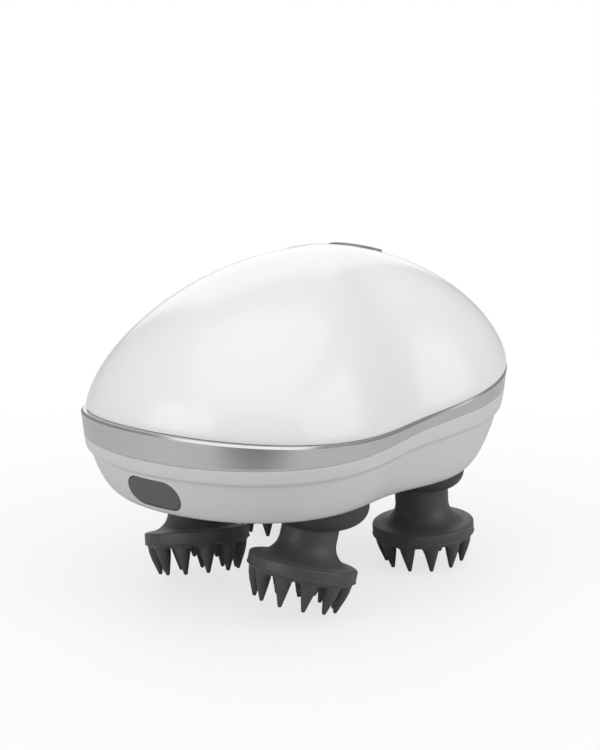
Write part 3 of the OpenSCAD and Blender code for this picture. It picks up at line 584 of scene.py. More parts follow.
def spun(points: Profile, steps: int, closed: bool) -> BMesh:
    """Spins a chain of points once round the Z axis.

    Args:
        points: The chain as (radius, height) points.
        steps: Steps of the turn.
        closed: Whether the last point joins the first.

    Returns:
        The mesh.
    """
    mesh = bmesh.new()
    chain = [mesh.verts.new((radius, 0.0, height)) for radius, height in points]
    edges = [mesh.edges.new(pair) for pair in zip(chain, chain[1:])]
    if closed:
        edges.append(mesh.edges.new((chain[-1], chain[0])))
    bmesh.ops.spin(mesh, geom=chain + edges, cent=(0.0, 0.0, 0.0), axis=(0.0, 0.0, 1.0),
                   dvec=(0.0, 0.0, 0.0), angle=FULL_TURN, steps=steps, use_merge=True)
    return mesh


def hose(rings: Sequence[Ring], steps: int, closed: bool = False) -> BMesh:
    """Spins a chain into a hose and lays each ring on its own curve.

    Its UV map runs round the hose and from the first ring to the last.

    Args:
        rings: One curve for each ring, from an angle in radians to a point.
        steps: Points round each ring.
        closed: Whether the last ring joins the first; else both ends are capped.

    Returns:
        The mesh in millimetres.
    """
    mesh = spun([(1.0, float(i)) for i in range(len(rings))], steps, closed)
    uv = mesh.loops.layers.uv.new("UVMap")
    for face in mesh.faces:
        turns = [math.atan2(loop.vert.co.y, loop.vert.co.x) % FULL_TURN for loop in face.loops]
        wrap = max(turns) - min(turns) > math.pi
        for loop, turn in zip(face.loops, turns):
            shown = turn + FULL_TURN if wrap and turn < math.pi else turn
            loop[uv].uv = (shown / FULL_TURN, loop.vert.co.z / len(rings))
    for vert in mesh.verts:
        vert.co = rings[round(vert.co.z)](math.atan2(vert.co.y, vert.co.x))
    if not closed:
        cap(mesh)
    return mesh


def turned(profile: Profile, steps: int = 96, closed: bool = False) -> BMesh:
    """Turns a profile of (radius, height) points round the Z axis.

    Args:
        profile: The points; a radius of zero closes the end.
        steps: Steps of the turn.
        closed: Whether the profile is a loop.

    Returns:
        The mesh in millimetres.
    """
    mesh = spun(profile, steps, closed)
    bmesh.ops.remove_doubles(mesh, verts=mesh.verts, dist=WELD)
    return mesh


def cap(mesh: BMesh) -> None:
    """Fills every open end of a mesh."""
    bmesh.ops.holes_fill(mesh, edges=[e for e in mesh.edges if e.is_boundary], sides=0)


def box(place: Place, size: Place) -> BMesh:
    """Makes a box.

    Args:
        place: Its middle.
        size: Its length, width and height.

    Returns:
        The mesh in millimetres.
    """
    mesh = bmesh.new()
    matrix = Matrix.Translation(place) @ Matrix.Diagonal((*size, 1.0))
    bmesh.ops.create_cube(mesh, size=1.0, matrix=matrix)
    return mesh


def rod(place: Place, radius: float, height: float, steps: int) -> BMesh:
    """Makes an upright cylinder.

    Args:
        place: Middle of its lower end.
        radius: Its radius.
        height: Its height.
        steps: Its sides.

    Returns:
        The mesh in millimetres.
    """
    mesh = turned([(0.0, 0.0), (radius, 0.0), (radius, height), (0.0, height)], steps)
    bmesh.ops.translate(mesh, vec=place, verts=mesh.verts)
    return mesh


def arc(centre: Span, radius: float, start: float, end: float, steps: int) -> Profile:
    """Gives the points of an arc in a profile.

    Args:
        centre: Middle of the arc.
        radius: Its radius.
        start: First angle in degrees.
        end: Last angle in degrees.
        steps: Number of steps.

    Returns:
        The points.
    """
    turns = [math.radians(start + (end - start) * i / steps) for i in range(steps + 1)]
    return [(centre[0] + radius * math.cos(t), centre[1] + radius * math.sin(t)) for t in turns]


def lifted(height: Callable[[float], float], lift: float) -> Callable[[float], float]:
    """Gives a height curve that lies a constant distance over another."""
    return lambda a: height(a) + lift


def join_into(target: BMesh, part: BMesh, matrix: Matrix) -> None:
    """Adds a moved copy of one bmesh to another, and keeps the first.

    Args:
        target: The mesh that grows.
        part: The mesh that is copied.
        matrix: Where the copy goes.
    """
    data = bpy.data.meshes.new("part")
    part.to_mesh(data)
    data.transform(matrix)
    target.from_mesh(data)
    bpy.data.meshes.remove(data)


# ------------------------------------------------------------ form of the egg


@dataclass(frozen=True)
class HousingForm:
    """The outline, seam and sections that all three shells share.

    Angles a run round the housing from the tail. The outline, the seam and the band's
    height are sums of cosines of a, and the sections are powers of the sine and cosine
    of an angle t up or down the side.
    """

    length: float = 116.0
    waist: float = 80.8
    tail_bias: float = 1.7
    quarter_round: float = 2.5
    top: float = 85.5
    seam_mean: float = 51.0
    seam_rise: float = 4.05
    seam_dip: float = 3.3
    seam_gap: float = 0.13
    summit: float = 10.2
    plan_pow: float = 1.04
    rise_pow: float = 1.26
    band_mean: float = 5.1
    band_tail: float = 0.35
    band_flank: float = 2.0
    band_draw: float = 0.5
    nose_proud: float = 1.4
    underside: float = 27.75
    under_lean: float = 1.4
    corner_share: float = 0.843
    flat_share: float = 0.79
    under_shift: float = 15.4
    under_plan_pow: float = 1.2
    under_drop_pow: float = 1.44
    step_depth: float = 0.95
    step_at: float = 23.0
    step_half: float = 2.5

    def plan(self, a: float) -> float:
        """Gives the outline's radius at an angle from the tail."""
        half, side = self.length / 2, self.waist / 2
        return ((half + side) / 2 + self.quarter_round + self.tail_bias * math.cos(a)
                + (half - side) / 2 * math.cos(2 * a) - self.tail_bias * math.cos(3 * a)
                - self.quarter_round * math.cos(4 * a))

    def seam(self, a: float) -> float:
        """Gives the height of the seam."""
        return self.seam_mean + self.seam_rise * math.cos(a) + self.seam_dip * math.cos(2 * a)

    def band(self, a: float) -> float:
        """Gives the height of the band's lower edge."""
        drop = (self.band_mean + self.band_tail * math.cos(a)
                + self.band_flank * math.cos(2 * a))
        return self.seam(a) - drop

    def rim(self, a: float) -> float:
        """Gives the height of the dome's foot, a hairline over the seam."""
        return self.seam(a) + self.seam_gap

    def low(self, a: float) -> float:
        """Gives the radius of the band and the lower shell, which stand out at the nose."""
        return self.plan(a) + self.nose_proud * ((1 - math.cos(a)) / 2) ** 2

    def floor_at(self, x: float) -> float:
        """Gives the height of the sloping underside."""
        return self.underside - x * math.tan(math.radians(self.under_lean))

    def wall(self, inset: float, height: Callable[[float], float], low: bool = False) -> Ring:
        """Makes a ring at a constant inset.

        Args:
            inset: Distance inside the outline.
            height: Height at each angle.
            low: Whether the outline is the band's and not the dome's.

        Returns:
            The ring.
        """
        outline = self.low if low else self.plan

        def point(a: float) -> Vector:
            """Places one point of the ring."""
            r = outline(a) - inset
            return Vector((r * math.cos(a), r * math.sin(a), height(a)))
        return point

    def skirt(self, inset: float, height: Callable[[float], float]) -> Ring:
        """Makes a ring at a constant inset from the band's outline."""
        return self.wall(inset, height, low=True)

    def dome(self, t: float, inset: float = 0.0, drop: float = 0.0) -> Ring:
        """Makes a ring of the dome.

        Args:
            t: Angle up the side in radians.
            inset: Distance inside the outline.
            drop: Distance below the top.

        Returns:
            The ring.
        """
        g, h = math.cos(t) ** self.plan_pow, math.sin(t) ** self.rise_pow

        def point(a: float) -> Vector:
            """Places one point of the ring."""
            r = (self.plan(a) - inset) * g
            return Vector((r * math.cos(a) + self.summit * (1 - g), r * math.sin(a),
                           self.rim(a) * (1 - h) + (self.top - drop) * h))
        return point

    def dome_height(self, x: float, y: float) -> float:
        """Finds the height of the dome over a point, by halving its plan scale.

        Args:
            x: Place along the housing.
            y: Place across the housing.

        Returns:
            The height.
        """
        low, high = 1e-4, 1.0
        for _ in range(HALVINGS):
            g = (low + high) / 2
            px, py = (x - self.summit * (1 - g)) / g, y / g
            if math.hypot(px, py) > self.plan(math.atan2(py, px)):
                low = g
            else:
                high = g
        h = math.sin(math.acos(min(1.0, g ** (1 / self.plan_pow)))) ** self.rise_pow
        return self.rim(math.atan2(py, px)) * (1 - h) + self.top * h

    def step(self, t: float) -> float:
        """Gives the inset of the soft step at an angle down the side."""
        run = (math.degrees(t) - self.step_at + self.step_half) / (2 * self.step_half)
        run = min(1.0, max(0.0, run))
        return self.step_depth * run * run * (3 - 2 * run)

    def under(self, t: float, inset: float, lift: float = 0.0) -> Ring:
        """Makes a ring of the lower shell.

        Args:
            t: Angle down the side in radians.
            inset: Distance inside the outline.
            lift: Distance above the bottom.

        Returns:
            The ring.
        """
        g = 1 - (1 - self.corner_share) * (1 - max(0.0, math.cos(t)) ** self.under_plan_pow)
        h = math.sin(t) ** self.under_drop_pow

        def point(a: float) -> Vector:
            """Places one point of the ring."""
            r = (self.low(a) - inset - self.step(t)) * g
            x = r * math.cos(a) - self.under_shift * (1 - g)
            return Vector((x, r * math.sin(a),
                           self.band(a) * (1 - h) + (self.floor_at(x) + lift) * h))
        return point

    def flat(self, share: float, inset: float, lift: float) -> Ring:
        """Makes a ring that lies along the underside.

        Args:
            share: Size against the outline.
            inset: Distance inside the outline first.
            lift: Height over the underside.

        Returns:
            The ring.
        """
        def point(a: float) -> Vector:
            """Places one point of the ring."""
            r = (self.low(a) - inset) * share
            x = r * math.cos(a) - self.under_shift * (1 - share)
            return Vector((x, r * math.sin(a), self.floor_at(x) + lift))
        return point

    def nose(self, y: float, z: float) -> float:
        """Finds where the lower shell's nose is, by halving the angle.

        Args:
            y: Place across the housing.
            z: Height.

        Returns:
            The place along the housing.
        """
        low, high = 0.5 * math.pi, 1.5 * math.pi
        spot = Vector((-self.length / 2, 0.0, z))
        for _ in range(HALVINGS):
            a = (low + high) / 2
            h = (self.band(a) - z) / (self.band(a) - self.floor_at(spot.x))
            t = math.asin(min(1.0, max(0.0, h) ** (1 / self.under_drop_pow)))
            spot = self.under(t, self.band_draw)(a)
            if spot.y > y:
                low = a
            else:
                high = a
        return spot.x


# --------------------------------------------------------------- the housing


@dataclass
class Dome:
    """The glossy upper shell with its oval hole, and the button in it.

    The button's flange is its growth, low end and top, and its stem is its radius,
    low end and height.
    """

    form: HousingForm
    shop: Workshop
    steps: int = 288
    button_x: float = 26.8
    button_half: Span = (5.0, 8.2)
    button_edge: float = 0.35
    flange: tuple[float, float, float] = (1.0, -4.0, -3.3)
    stem: tuple[float, float, float] = (1.7, -5.75, 1.85)
    gap: float = 0.25
    proud: float = 0.66
    wall: float = 2.4
    tongue: float = 2.1
    rim_wall: float = 3.3
    tongue_drop: float = 1.1
    tuck: float = 0.24
    tuck_rings: int = 5
    edge: float = 0.3
    shoulder: float = 52.0
    side_rings: int = 44
    crown_rings: int = 26
    crown_pack: float = 1.15

    def __post_init__(self) -> None:
        """Works out the button's place and lean."""
        height = self.form.dome_height
        x = self.button_x
        lean = math.atan(height(x - 0.5, 0.0) - height(x + 0.5, 0.0))
        self.seat = Vector((x, 0.0, height(x, 0.0)))
        self.along = Vector((math.cos(lean), 0.0, -math.sin(lean)))
        self.up = Vector((math.sin(lean), 0.0, math.cos(lean)))

    def over(self, u: float, v: float, rise: float) -> Vector:
        """Finds the dome's surface along the button's axis.

        Args:
            u: Distance along the housing in the button's plane.
            v: Distance across it.
            rise: Height above the surface.

        Returns:
            The point.
        """
        foot = self.seat + self.along * u + Vector((0.0, v, 0.0))
        w = 0.0
        for _ in range(6):
            spot = foot + self.up * w
            w -= (spot.z - self.form.dome_height(spot.x, spot.y)) / self.up.z
        return foot + self.up * (w + rise)

    def oval(self, grow: float, rise: float, share: float = 1.0) -> Ring:
        """Makes an oval ring round the button's axis.

        Args:
            grow: Distance outside the button's outline.
            rise: Height above the dome.
            share: Scale of the whole oval.

        Returns:
            The ring.
        """
        def point(a: float) -> Vector:
            """Places one point of the ring."""
            return self.over((self.button_half[0] + grow) * share * math.cos(a),
                             (self.button_half[1] + grow) * share * math.sin(a), rise)
        return point

    def crown(self, outer: Ring, share: float, drop: float) -> Ring:
        """Makes a ring between the dome's shoulder and the button's hole.

        Args:
            outer: The shoulder ring.
            share: Zero at the shoulder, one at the hole.
            drop: Distance below the outer surface.

        Returns:
            The ring.
        """
        hole = self.oval(self.gap + self.edge, 0.0)

        def point(a: float) -> Vector:
            """Places one point of the ring."""
            spot = outer(a).lerp(hole(a), share)
            return Vector((spot.x, spot.y, self.form.dome_height(spot.x, spot.y) - drop))
        return point

    def build(self) -> None:
        """Builds the shell from the hole over the crown to the rim, and back inside."""
        form = self.form
        shoulder_t = math.radians(self.shoulder)
        shoulder = form.dome(shoulder_t)
        hole_edge = ((0.0, -self.wall), (0.0, -0.3), (0.04, -0.14), (0.12, -0.045),
                     (self.edge, 0.0))
        rings: list[Ring] = [self.oval(self.gap + grow, rise) for grow, rise in hole_edge]
        rings += [self.crown(shoulder, 1 - (i / self.crown_rings) ** self.crown_pack, 0.0)
                  for i in range(1, self.crown_rings)]
        for i in range(self.side_rings):
            tucked = max(0.0, (i - self.side_rings) / self.tuck_rings + 1)
            rings.append(form.dome(shoulder_t * (1 - i / self.side_rings), self.tuck * tucked ** 2))
        foot = ((self.tuck, 0.08), (self.tuck + 0.05, 0.03), (self.tuck + 0.15, 0.0),
                (self.tongue, 0.0), (self.tongue, -form.seam_gap - self.tongue_drop),
                (self.rim_wall, -form.seam_gap - self.tongue_drop))
        rings += [form.wall(inset, lifted(form.rim, lift)) for inset, lift in foot]
        rings += [form.dome(math.radians(t), self.rim_wall, self.wall) for t in range(5, 51, 5)]
        rings += [self.crown(shoulder, i / 8, self.wall + 0.2) for i in range(1, 8)]
        self.shop.piece(hose(rings, self.steps, closed=True), "dome_shell", Finish.DOME,
                        "housing", "upper_shell", sharp=60.0)

    def build_button(self) -> None:
        """Builds the oval button with its rounded rim and flange."""
        proud, edge = self.proud, self.button_edge
        grow, low, top = self.flange
        rings: list[Ring] = [self.oval(grow, low), self.oval(grow, top), self.oval(0.0, top),
                             self.oval(0.0, proud - edge)]
        rings += [self.oval(-edge * (1 - math.cos(t)), proud - edge * (1 - math.sin(t)))
                  for t in (math.radians(20 * i) for i in range(1, 5))]
        rings += [self.oval(-edge, proud, share)
                  for share in (1.0, 0.97, 0.9, 0.8, 0.66, 0.5, 0.34, 0.18, 0.04)]
        mesh = hose(rings, 96)
        radius, low, height = self.stem
        place = Matrix((self.along, Vector((0, 1, 0)), self.up)).transposed().to_4x4()
        place.translation = self.seat
        join_into(mesh, rod((0.0, 0.0, low), radius, height, 32), place)
        self.shop.piece(mesh, "oval_button", Finish.BUTTON, "button", "button")


@dataclass
class TrimBand:
    """The silver band with a bright bevel along its top edge."""

    form: HousingForm
    shop: Workshop
    steps: int = 288
    bevel: float = 0.42
    thick: float = 2.0
    top_lift: float = 0.08
    bottom_lift: float = 0.2
    rows: int = 12

    def build(self) -> None:
        """Builds the band as a closed loop of rings, from its inner top over the face."""
        form = self.form
        draw = form.band_draw

        def row(share: float) -> Callable[[float], float]:
            """Gives the height of a row between the face's top and bottom."""
            def height(a: float) -> float:
                """Places one point of the row."""
                top, bottom = form.seam(a) - self.bevel, form.band(a) + self.bottom_lift
                return top + (bottom - top) * share
            return height

        crest = lifted(form.seam, self.top_lift)
        rings: list[Ring] = [form.wall(self.thick, crest),
                             form.skirt(self.bevel * 1.15, crest),
                             form.skirt(self.bevel, lifted(form.seam, 0.03)),
                             form.skirt(0.06, lifted(form.seam, -self.bevel * 0.86))]
        rings += [form.skirt(draw * i / self.rows, row(i / self.rows))
                  for i in range(self.rows + 1)]
        rings += [form.skirt(draw + 0.06, lifted(form.band, 0.06)),
                  form.skirt(draw + 0.2, form.band), form.wall(self.thick, form.band)]
        self.shop.piece(hose(rings, self.steps, closed=True), "silver_band", Finish.BAND,
                        "housing", "trim_band", sharp=28.0)


@dataclass
class LowerShell:
    """The satin lower shell with its soft step, boot holes and charging port."""

    form: HousingForm
    shop: Workshop
    steps: int = 288
    wall: float = 3.3
    floor: float = 2.4
    tongue: float = 2.1
    tongue_low: float = 2.1
    brim: float = 0.836
    boot_hole: float = 12.15
    flange_hole: float = 13.75
    hole_reach: Span = (22.0, 34.0)
    port_size: Span = (15.6, 7.6)
    port_z: float = 34.6
    port_depth: float = 1.65
    port_gap: float = 0.15
    socket_x: float = -51.0
    socket: Place = (14.0, 9.2, 3.5)
    screws: tuple[Span, ...] = ((-38, -13), (-38, 13), (42.2, -7), (42.2, 7))
    screw_hole: float = 2.4
    screw_low: float = 20.0
    screw_height: float = 11.0
    cover_edge: float = 0.5
    cover_slack: float = 0.06
    cover_sunk: float = 0.1
    plug_x: float = -52.1
    plug: Place = (5.4, 7.8, 2.1)

    def stadium(self, grow: float, steps: int = 64) -> Profile:
        """Gives the rounded outline of the port as (y, z) points.

        Args:
            grow: Distance outside the cover.
            steps: Number of points.

        Returns:
            The points, centred on the port.
        """
        width, height = self.port_size
        reach, r = (width - height) / 2, height / 2 + grow
        turns = [FULL_TURN * (i + 0.5) / steps for i in range(steps)]
        return [(math.copysign(reach, math.cos(t)) + r * math.cos(t), r * math.sin(t))
                for t in turns]

    def on_nose(self, outline: Profile, depth: float, share: float = 1.0) -> list[Vector]:
        """Lays an outline on the nose.

        Args:
            outline: Points about the port's middle.
            depth: Distance inside the surface.
            share: Scale of the outline.

        Returns:
            The points.
        """
        return [Vector((self.form.nose(y * share, self.port_z + z * share) + depth, y * share,
                        self.port_z + z * share)) for y, z in outline]

    def sleeve(self, loops: Sequence[Sequence[Vector]]) -> BMesh:
        """Bridges loops of points into a capped sleeve.

        Args:
            loops: Loops with as many points each.

        Returns:
            The mesh in millimetres.
        """
        mesh = bmesh.new()
        edges = []
        for loop in loops:
            verts = [mesh.verts.new(point) for point in loop]
            edges.append([mesh.edges.new(pair) for pair in zip(verts, verts[1:] + verts[:1])])
        for first, second in zip(edges, edges[1:]):
            bmesh.ops.bridge_loops(mesh, edges=first + second)
        cap(mesh)
        return mesh

    def cutters(self) -> list[BMesh]:
        """Makes the forms that open the boot holes, the port and the screw holes."""
        tools = []
        low, high = self.hole_reach
        for head in HEADS.values():
            seat = head.seat(self.form)
            tool = turned([(0.0, low), (self.boot_hole, low), (self.boot_hole, seat),
                           (self.flange_hole, seat), (self.flange_hole, high), (0.0, high)])
            bmesh.ops.translate(tool, vec=(head.x, head.y, 0.0), verts=tool.verts)
            tools.append(tool)
        outline = self.stadium(self.port_gap)
        tools.append(self.sleeve([self.on_nose(outline, -8.0),
                                  self.on_nose(outline, self.port_depth)]))
        tools.append(box((self.socket_x, 0.0, self.port_z), self.socket))
        tools += [rod((x, y, self.screw_low), self.screw_hole, self.screw_height, 48)
                  for x, y in self.screws]
        return tools

    def build(self) -> None:
        """Builds the shell from its inner floor up, over the rim and down outside."""
        form = self.form
        tongue_top = lifted(form.seam, -self.tongue_low)
        draw = form.band_draw
        fine = [1.2 + 1.2 * i for i in range(1, 30)]
        coarse = [38 + 2.2 * i for i in range(22)] + [86, 88, 89.2, 90]
        rings: list[Ring] = [form.flat(form.flat_share, self.wall, self.floor)]
        rings += [form.under(math.radians(t), self.wall, self.floor) for t in range(86, 13, -12)]
        rings += [form.wall(self.wall, tongue_top), form.wall(self.tongue, tongue_top),
                  form.wall(self.tongue, form.band), form.skirt(draw + 0.25, form.band),
                  form.skirt(draw + 0.08, lifted(form.band, -0.08))]
        rings += [form.under(math.radians(t), draw) for t in fine + coarse]
        rings += [form.flat(self.brim, draw, 0.02), form.flat(form.flat_share, draw, 0.0)]
        self.shop.piece(hose(rings, self.steps), "satin_lower_shell", Finish.SHELL, "housing",
                        "lower_shell", cutters=self.cutters())

    def build_cover(self) -> None:
        """Builds the rubber port cover with its plug."""
        edge, slack, sunk = self.cover_edge, self.cover_slack, self.cover_sunk
        outline = self.stadium(-slack)
        loops = [self.on_nose(outline, self.port_depth - 0.05), self.on_nose(outline, edge + sunk)]
        for turn in (22.0, 45.0, 67.0, 90.0):
            t = math.radians(turn)
            inside = self.stadium(-slack - edge * (1 - math.cos(t)))
            loops.append(self.on_nose(inside, sunk + edge * (1 - math.sin(t))))
        face = self.stadium(-slack - edge)
        loops += [self.on_nose(face, sunk, share) for share in (0.85, 0.65, 0.4, 0.15)]
        mesh = self.sleeve(loops)
        plug = box((self.plug_x, 0.0, self.port_z), self.plug)
        bmesh.ops.bevel(plug, geom=plug.edges[:], offset=0.4, offset_type="OFFSET",
                        affect="EDGES", segments=3, profile=0.5, material=-1)
        join_into(mesh, plug, Matrix.Identity(4))
        self.shop.piece(mesh, "rubber_port_cover", Finish.COVER, "port_cover", "port_cover")


# ------------------------------------------------------------ kneading heads


@dataclass(frozen=True)
class HeadPlace:
    """Where one head stands and how its drive pin leans."""

    x: float
    y: float
    tilt: float
    swing: float
    pivot: float
    turn: float
    arm: float = 22.4
    seat_height: float = 2.05

    def seat(self, form: HousingForm) -> float:
        """Gives the height at which the boot's flange sits in the lower shell."""
        return form.floor_at(self.x) + self.seat_height

    def frame(self) -> Matrix:
        """Gives the frame whose origin is the disc's middle and whose Z runs up the pin."""
        return (Matrix.Translation((self.x, self.y, self.pivot))
                @ Matrix.Rotation(math.radians(self.swing), 4, "Z")
                @ Matrix.Rotation(math.radians(-self.tilt), 4, "Y")
                @ Matrix.Translation((0.0, 0.0, -self.arm)))


HEADS: dict[Side, HeadPlace] = {
    Side.FRONT_LEFT: HeadPlace(-17.7, -20.978, 16.4, 171.0, 33.391, 6.5),
    Side.FRONT_RIGHT: HeadPlace(-17.7, 20.978, 16.4, 233.0, 33.391, 17.0),
    Side.REAR_LEFT: HeadPlace(23.7, -23.405, 3.6, -54.0, 32.3596, -1.8),
    Side.REAR_RIGHT: HeadPlace(23.7, 23.405, 3.6, 54.0, 32.3596, 0.0),
}


@dataclass
class KneadingHead:
    """A silicone head: flared disc, an outer ring of prongs and a shorter inner ring.

    Each ring of prongs is its count, its radius, and a prong's length and root radius.
    """

    side: Side
    shop: Workshop
    disc: float = 13.7
    neck: float = 7.1
    flare: float = 5.2
    under: float = -1.75
    rim_top: float = 1.2
    ledge: float = 0.12
    neck_low: float = 11.0
    neck_top: float = 16.4
    hub_neck: float = 5.42
    hub_disc: float = 10.83
    hub_reach: Span = (-0.33, 1.23)
    outer: tuple[int, float, float, float] = (11, 11.2, 7.7, 1.95)
    outer_flare: float = 1.25
    inner: tuple[int, float, float, float] = (8, 5.6, 4.2, 1.6)
    inner_flare: float = 0.7
    centre_share: float = 0.9
    slant: float = 8.0
    tip: float = 0.55
    web: float = 0.45
    root_depth: float = 1.78

    def prong(self, length: float, root: float, flare: float, above: float = 0.4) -> BMesh:
        """Turns one prong, hanging from the origin, with a flared root.

        Args:
            length: Length of the prong.
            root: Its radius below the flare.
            flare: Radius of the concave flare at its root.
            above: How far it reaches up into the disc.

        Returns:
            The mesh.
        """
        points = [(0.0, above), (root + flare, above)]
        points += arc((root + flare, -flare), flare, 90.0, 180.0, 8)
        points += [(root - (root - self.tip) * s, -flare - (length - flare - self.tip) * s)
                   for s in (0.35, 0.7)]
        points += arc((0.0, -length + self.tip), self.tip, 0.0, -90.0, 6)
        return turned(points, 32)

    def body(self) -> BMesh:
        """Turns the disc with its web and bead, the flare and the neck, hollow for the hub."""
        disc, under, top, flare = self.disc, self.under, self.rim_top, self.flare
        points = [(0.0, under), (disc - 4.0, under), (disc - 3.6, under - self.web),
                  (disc - 1.15, under - self.web), (disc - 0.8, under - 0.25),
                  (disc - 0.5, under + 0.15)]
        points += arc((disc - 0.26, -1.2), 0.26, -60.0, 60.0, 6)
        points += [(disc - self.ledge, -0.85)]
        points += arc((disc - self.ledge - 0.5, top - 0.05), 0.5, 0.0, 72.0, 6)
        points += arc((self.neck + flare, top + 0.6 + flare), flare, 268.0, 180.0, 22)
        low, high = self.hub_reach
        points += [(self.neck, self.neck_low), (self.neck, self.neck_top),
                   (self.hub_neck, self.neck_top), (self.hub_neck, high),
                   (self.hub_disc, high), (self.hub_disc, low), (0.0, low)]
        return turned(points, 128)

    def build(self) -> None:
        """Builds the head in its own frame and sets it on its pin."""
        mesh = self.body()
        drop = Matrix.Translation((0.0, 0.0, self.under))
        count, ring, length, root = self.outer
        flared = self.prong(length - self.web, root, self.outer_flare, self.web + 0.3)
        for vert in flared.verts:
            vert.co.x *= min(1.0, self.root_depth / max(self.root_depth, vert.co.xy.length))
        first = math.pi + math.radians(HEADS[self.side].turn)
        for i in range(count):
            join_into(mesh, flared, drop @ Matrix.Rotation(first + FULL_TURN * i / count, 4, "Z")
                      @ Matrix.Translation((ring, 0.0, 0.0))
                      @ Matrix.Rotation(math.radians(self.slant), 4, "Y")
                      @ Matrix.Translation((0.0, 0.0, -self.web)))
        count, ring, length, root = self.inner
        plain = self.prong(length, root, self.inner_flare)
        for i in range(count):
            join_into(mesh, plain, drop @ Matrix.Rotation(FULL_TURN * i / count, 4, "Z")
                      @ Matrix.Translation((ring, 0.0, 0.0)))
        join_into(mesh, plain, drop @ Matrix.Diagonal((1.0, 1.0, self.centre_share, 1.0)))
        bmesh.ops.transform(mesh, matrix=HEADS[self.side].frame(), verts=mesh.verts)
        name = f"head_{self.side.value}"
        self.shop.piece(mesh, f"silicone_{name}", Finish.HEAD, name, name, sharp=45.0)


@dataclass
class Boot:
    """The soft bowl-shaped boot that seals a head's neck to the housing.

    It is round about its spindle, so it turns with the spindle to keep its hole round the
    swaying neck.
    """

    side: Side
    form: HousingForm
    shop: Workshop
    bowl: float = 12.0
    bottom: float = 21.9
    rounding: float = 4.4
    thick: float = 1.2
    flange: float = 13.6
    neck_hole: float = 7.3
    hole_low: float = 5.2
    hole_height: float = 11.2

    def build(self) -> None:
        """Builds the boot round its spindle and opens it for the leaning neck."""
        place = HEADS[self.side]
        seat = place.seat(self.form)
        mid = (self.bowl - self.rounding, self.bottom + self.rounding)
        points = [(self.bowl - self.thick, seat + self.thick)]
        points += arc(mid, self.rounding - self.thick, 0.0, -90.0, 10)
        points += [(0.0, self.bottom + self.thick), (0.0, self.bottom)]
        points += arc(mid, self.rounding, -90.0, 0.0, 16)
        points += [(self.bowl, seat), (self.flange, seat), (self.flange, seat + self.thick)]
        mesh = turned(points, 128, closed=True)
        bmesh.ops.translate(mesh, vec=(place.x, place.y, 0.0), verts=mesh.verts)
        hole = rod((0.0, 0.0, self.hole_low), self.neck_hole, self.hole_height, 96)
        bmesh.ops.transform(hole, matrix=place.frame(), verts=hole.verts)
        name = f"boot_{self.side.value}"
        self.shop.piece(mesh, f"soft_{name}", Finish.BOOT, f"spindle_{self.side.value}", name,
                        cutters=[hole])


# ------------------------------------------------------------------ the stage


@dataclass(frozen=True)
class Softbox:
    """One square area lamp that looks at the object."""

    name: str
    place: Place
    size: float
    power: float

    def build(self, aim: Vector) -> None:
        """Makes the lamp.

        Args:
            aim: The point it faces.
        """
        lamp = bpy.data.lights.new(self.name, "AREA")
        lamp.shape = "SQUARE"
        lamp.size = self.size
        lamp.energy = self.power
        holder = bpy.data.objects.new(self.name, lamp)
        holder.location = self.place
        holder.rotation_euler = (aim - Vector(self.place)).to_track_quat("-Z", "Y").to_euler()
        bpy.context.scene.collection.objects.link(holder)


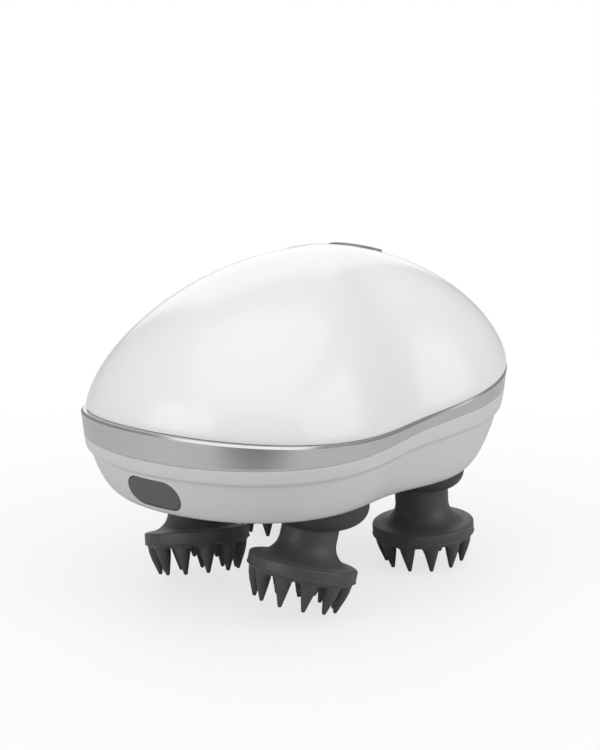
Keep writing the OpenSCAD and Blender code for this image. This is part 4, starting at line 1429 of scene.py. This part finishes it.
@dataclass
class Studio:
    """Pale floor, soft lamps and the camera at the photograph's angle."""

    azimuth: float = -53.44
    elevation: float = 12.75
    distance: float = 0.37584
    lens: float = 69.51
    aim_right: float = 0.00119
    aim_height: float = 0.05283
    aim_lamps: float = 0.05
    floor_half: float = 4.0
    floor_tone: float = 0.92
    card: Place = (-0.185, -0.13, 0.0)
    card_reach: Span = (0.055, 0.11)
    card_tone: Span = (0.13, 0.64)
    fade_reach: Span = (0.05, 0.2)
    fade_share: Span = (0.72, 1.0)
    room_light: float = 0.32
    lamps: tuple[Softbox, ...] = (
        Softbox("overhead_softbox", (-0.2, -0.1, 1.15), 1.5, 6.4),
        Softbox("left_softbox", (-1.05, 0.35, 0.45), 0.9, 5.0),
        Softbox("right_softbox", (0.25, -1.1, 0.45), 1.1, 6.3),
        Softbox("back_softbox", (0.7, 0.6, 0.5), 0.8, 2.0),
    )

    def build_camera(self) -> None:
        """Sets the camera by azimuth, elevation and distance."""
        az, el = math.radians(self.azimuth), math.radians(self.elevation)
        right = Vector((math.cos(az), math.sin(az), 0.0))
        back = Vector((math.sin(az) * math.cos(el), -math.cos(az) * math.cos(el), math.sin(el)))
        aim = right * self.aim_right + Vector((0.0, 0.0, self.aim_height))
        camera = bpy.data.cameras.new("camera")
        camera.sensor_fit = "AUTO"
        camera.sensor_width = 36.0
        camera.lens = self.lens
        camera.clip_start = 0.01
        holder = bpy.data.objects.new("camera", camera)
        holder.location = aim + back * self.distance
        holder.rotation_euler = back.to_track_quat("Z", "Y").to_euler()
        bpy.context.scene.collection.objects.link(holder)
        bpy.context.scene.camera = holder

    def fade_to_white(self, shader: Shader) -> None:
        """Shows the floor plain white to the camera away from the object.

        Args:
            shader: The floor's material.
        """
        away = shader.node("ShaderNodeVectorMath", "Value", {0: shader.place()},
                           operation="LENGTH")
        fade = away.between(*self.fade_reach, *self.fade_share) * shader.seen()
        white = shader.node("ShaderNodeEmission", 0, {"Color": WHITE, "Strength": 1.0})
        shader.show_mixed(shader.surface, white, fade)

    def build_floor(self) -> None:
        """Makes the pale floor, whose dark card only light and reflections meet.

        The silver band reflects the card as the dark patch at its middle.
        """
        mesh = bmesh.new()
        bmesh.ops.create_grid(mesh, x_segments=1, y_segments=1, size=self.floor_half)
        data = bpy.data.meshes.new("floor")
        mesh.to_mesh(data)
        mesh.free()
        shader = Shader("pale_floor")
        seen = shader.seen()
        apart = shader.node("ShaderNodeVectorMath", "Value", {0: shader.place(), 1: self.card},
                            operation="DISTANCE")
        card = apart.between(*self.card_reach, *self.card_tone)
        level = seen * self.floor_tone + (1 - seen) * card
        shader.feed("Base Color", shader.tint(level, (0.0, 0.0, 0.0), (1.0, 1.0, 1.0)))
        shader.plain(Roughness=0.8, Specular_IOR_Level=0.2)
        self.fade_to_white(shader)
        data.materials.append(shader.material)
        floor = bpy.data.objects.new("floor", data)
        bpy.context.scene.collection.objects.link(floor)

    def build_world(self) -> None:
        """Lights the room softly and shows it white to the camera."""
        world = bpy.data.worlds.new("room")
        world.use_nodes = True
        wiring = Wiring(world.node_tree, "ShaderNodeOutputWorld")
        light, shown = (wiring.node("ShaderNodeBackground", 0, {"Color": WHITE, "Strength": level})
                        for level in (self.room_light, 1.0))
        wiring.show_mixed(light, shown, wiring.seen())
        bpy.context.scene.world = world

    def build(self) -> None:
        """Builds the whole stage."""
        self.build_camera()
        self.build_floor()
        self.build_world()
        for lamp in self.lamps:
            lamp.build(Vector((0.0, 0.0, self.aim_lamps)))
        bpy.context.scene.view_settings.view_transform = "Standard"


def dress_nodes(frame: dict, paints: Paintbox) -> None:
    """Gives every CAD node its finish by the record's slot.

    Args:
        frame: The loaded frame.
        paints: The finishes.
    """
    for entry in frame["record"]["subparts"]:
        node = frame["nodes"][entry["node"]]
        node.data.materials.clear()
        node.data.materials.append(paints.take(Finish(entry["material_slot"])))
        LOG.info("%s: dressed as %s", entry["node"], entry["material_slot"])


def main() -> None:
    """Builds the stage and every piece."""
    logging.basicConfig(level=logging.INFO, format="%(name)s %(message)s")
    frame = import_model()
    Studio().build()
    shop = Workshop()
    dress_nodes(frame, shop.paints)
    form = HousingForm()
    dome = Dome(form, shop)
    dome.build()
    dome.build_button()
    TrimBand(form, shop).build()
    lower = LowerShell(form, shop)
    lower.build()
    lower.build_cover()
    for side in Side:
        KneadingHead(side, shop).build()
        Boot(side, form, shop).build()


if __name__ == "__main__":
    main()
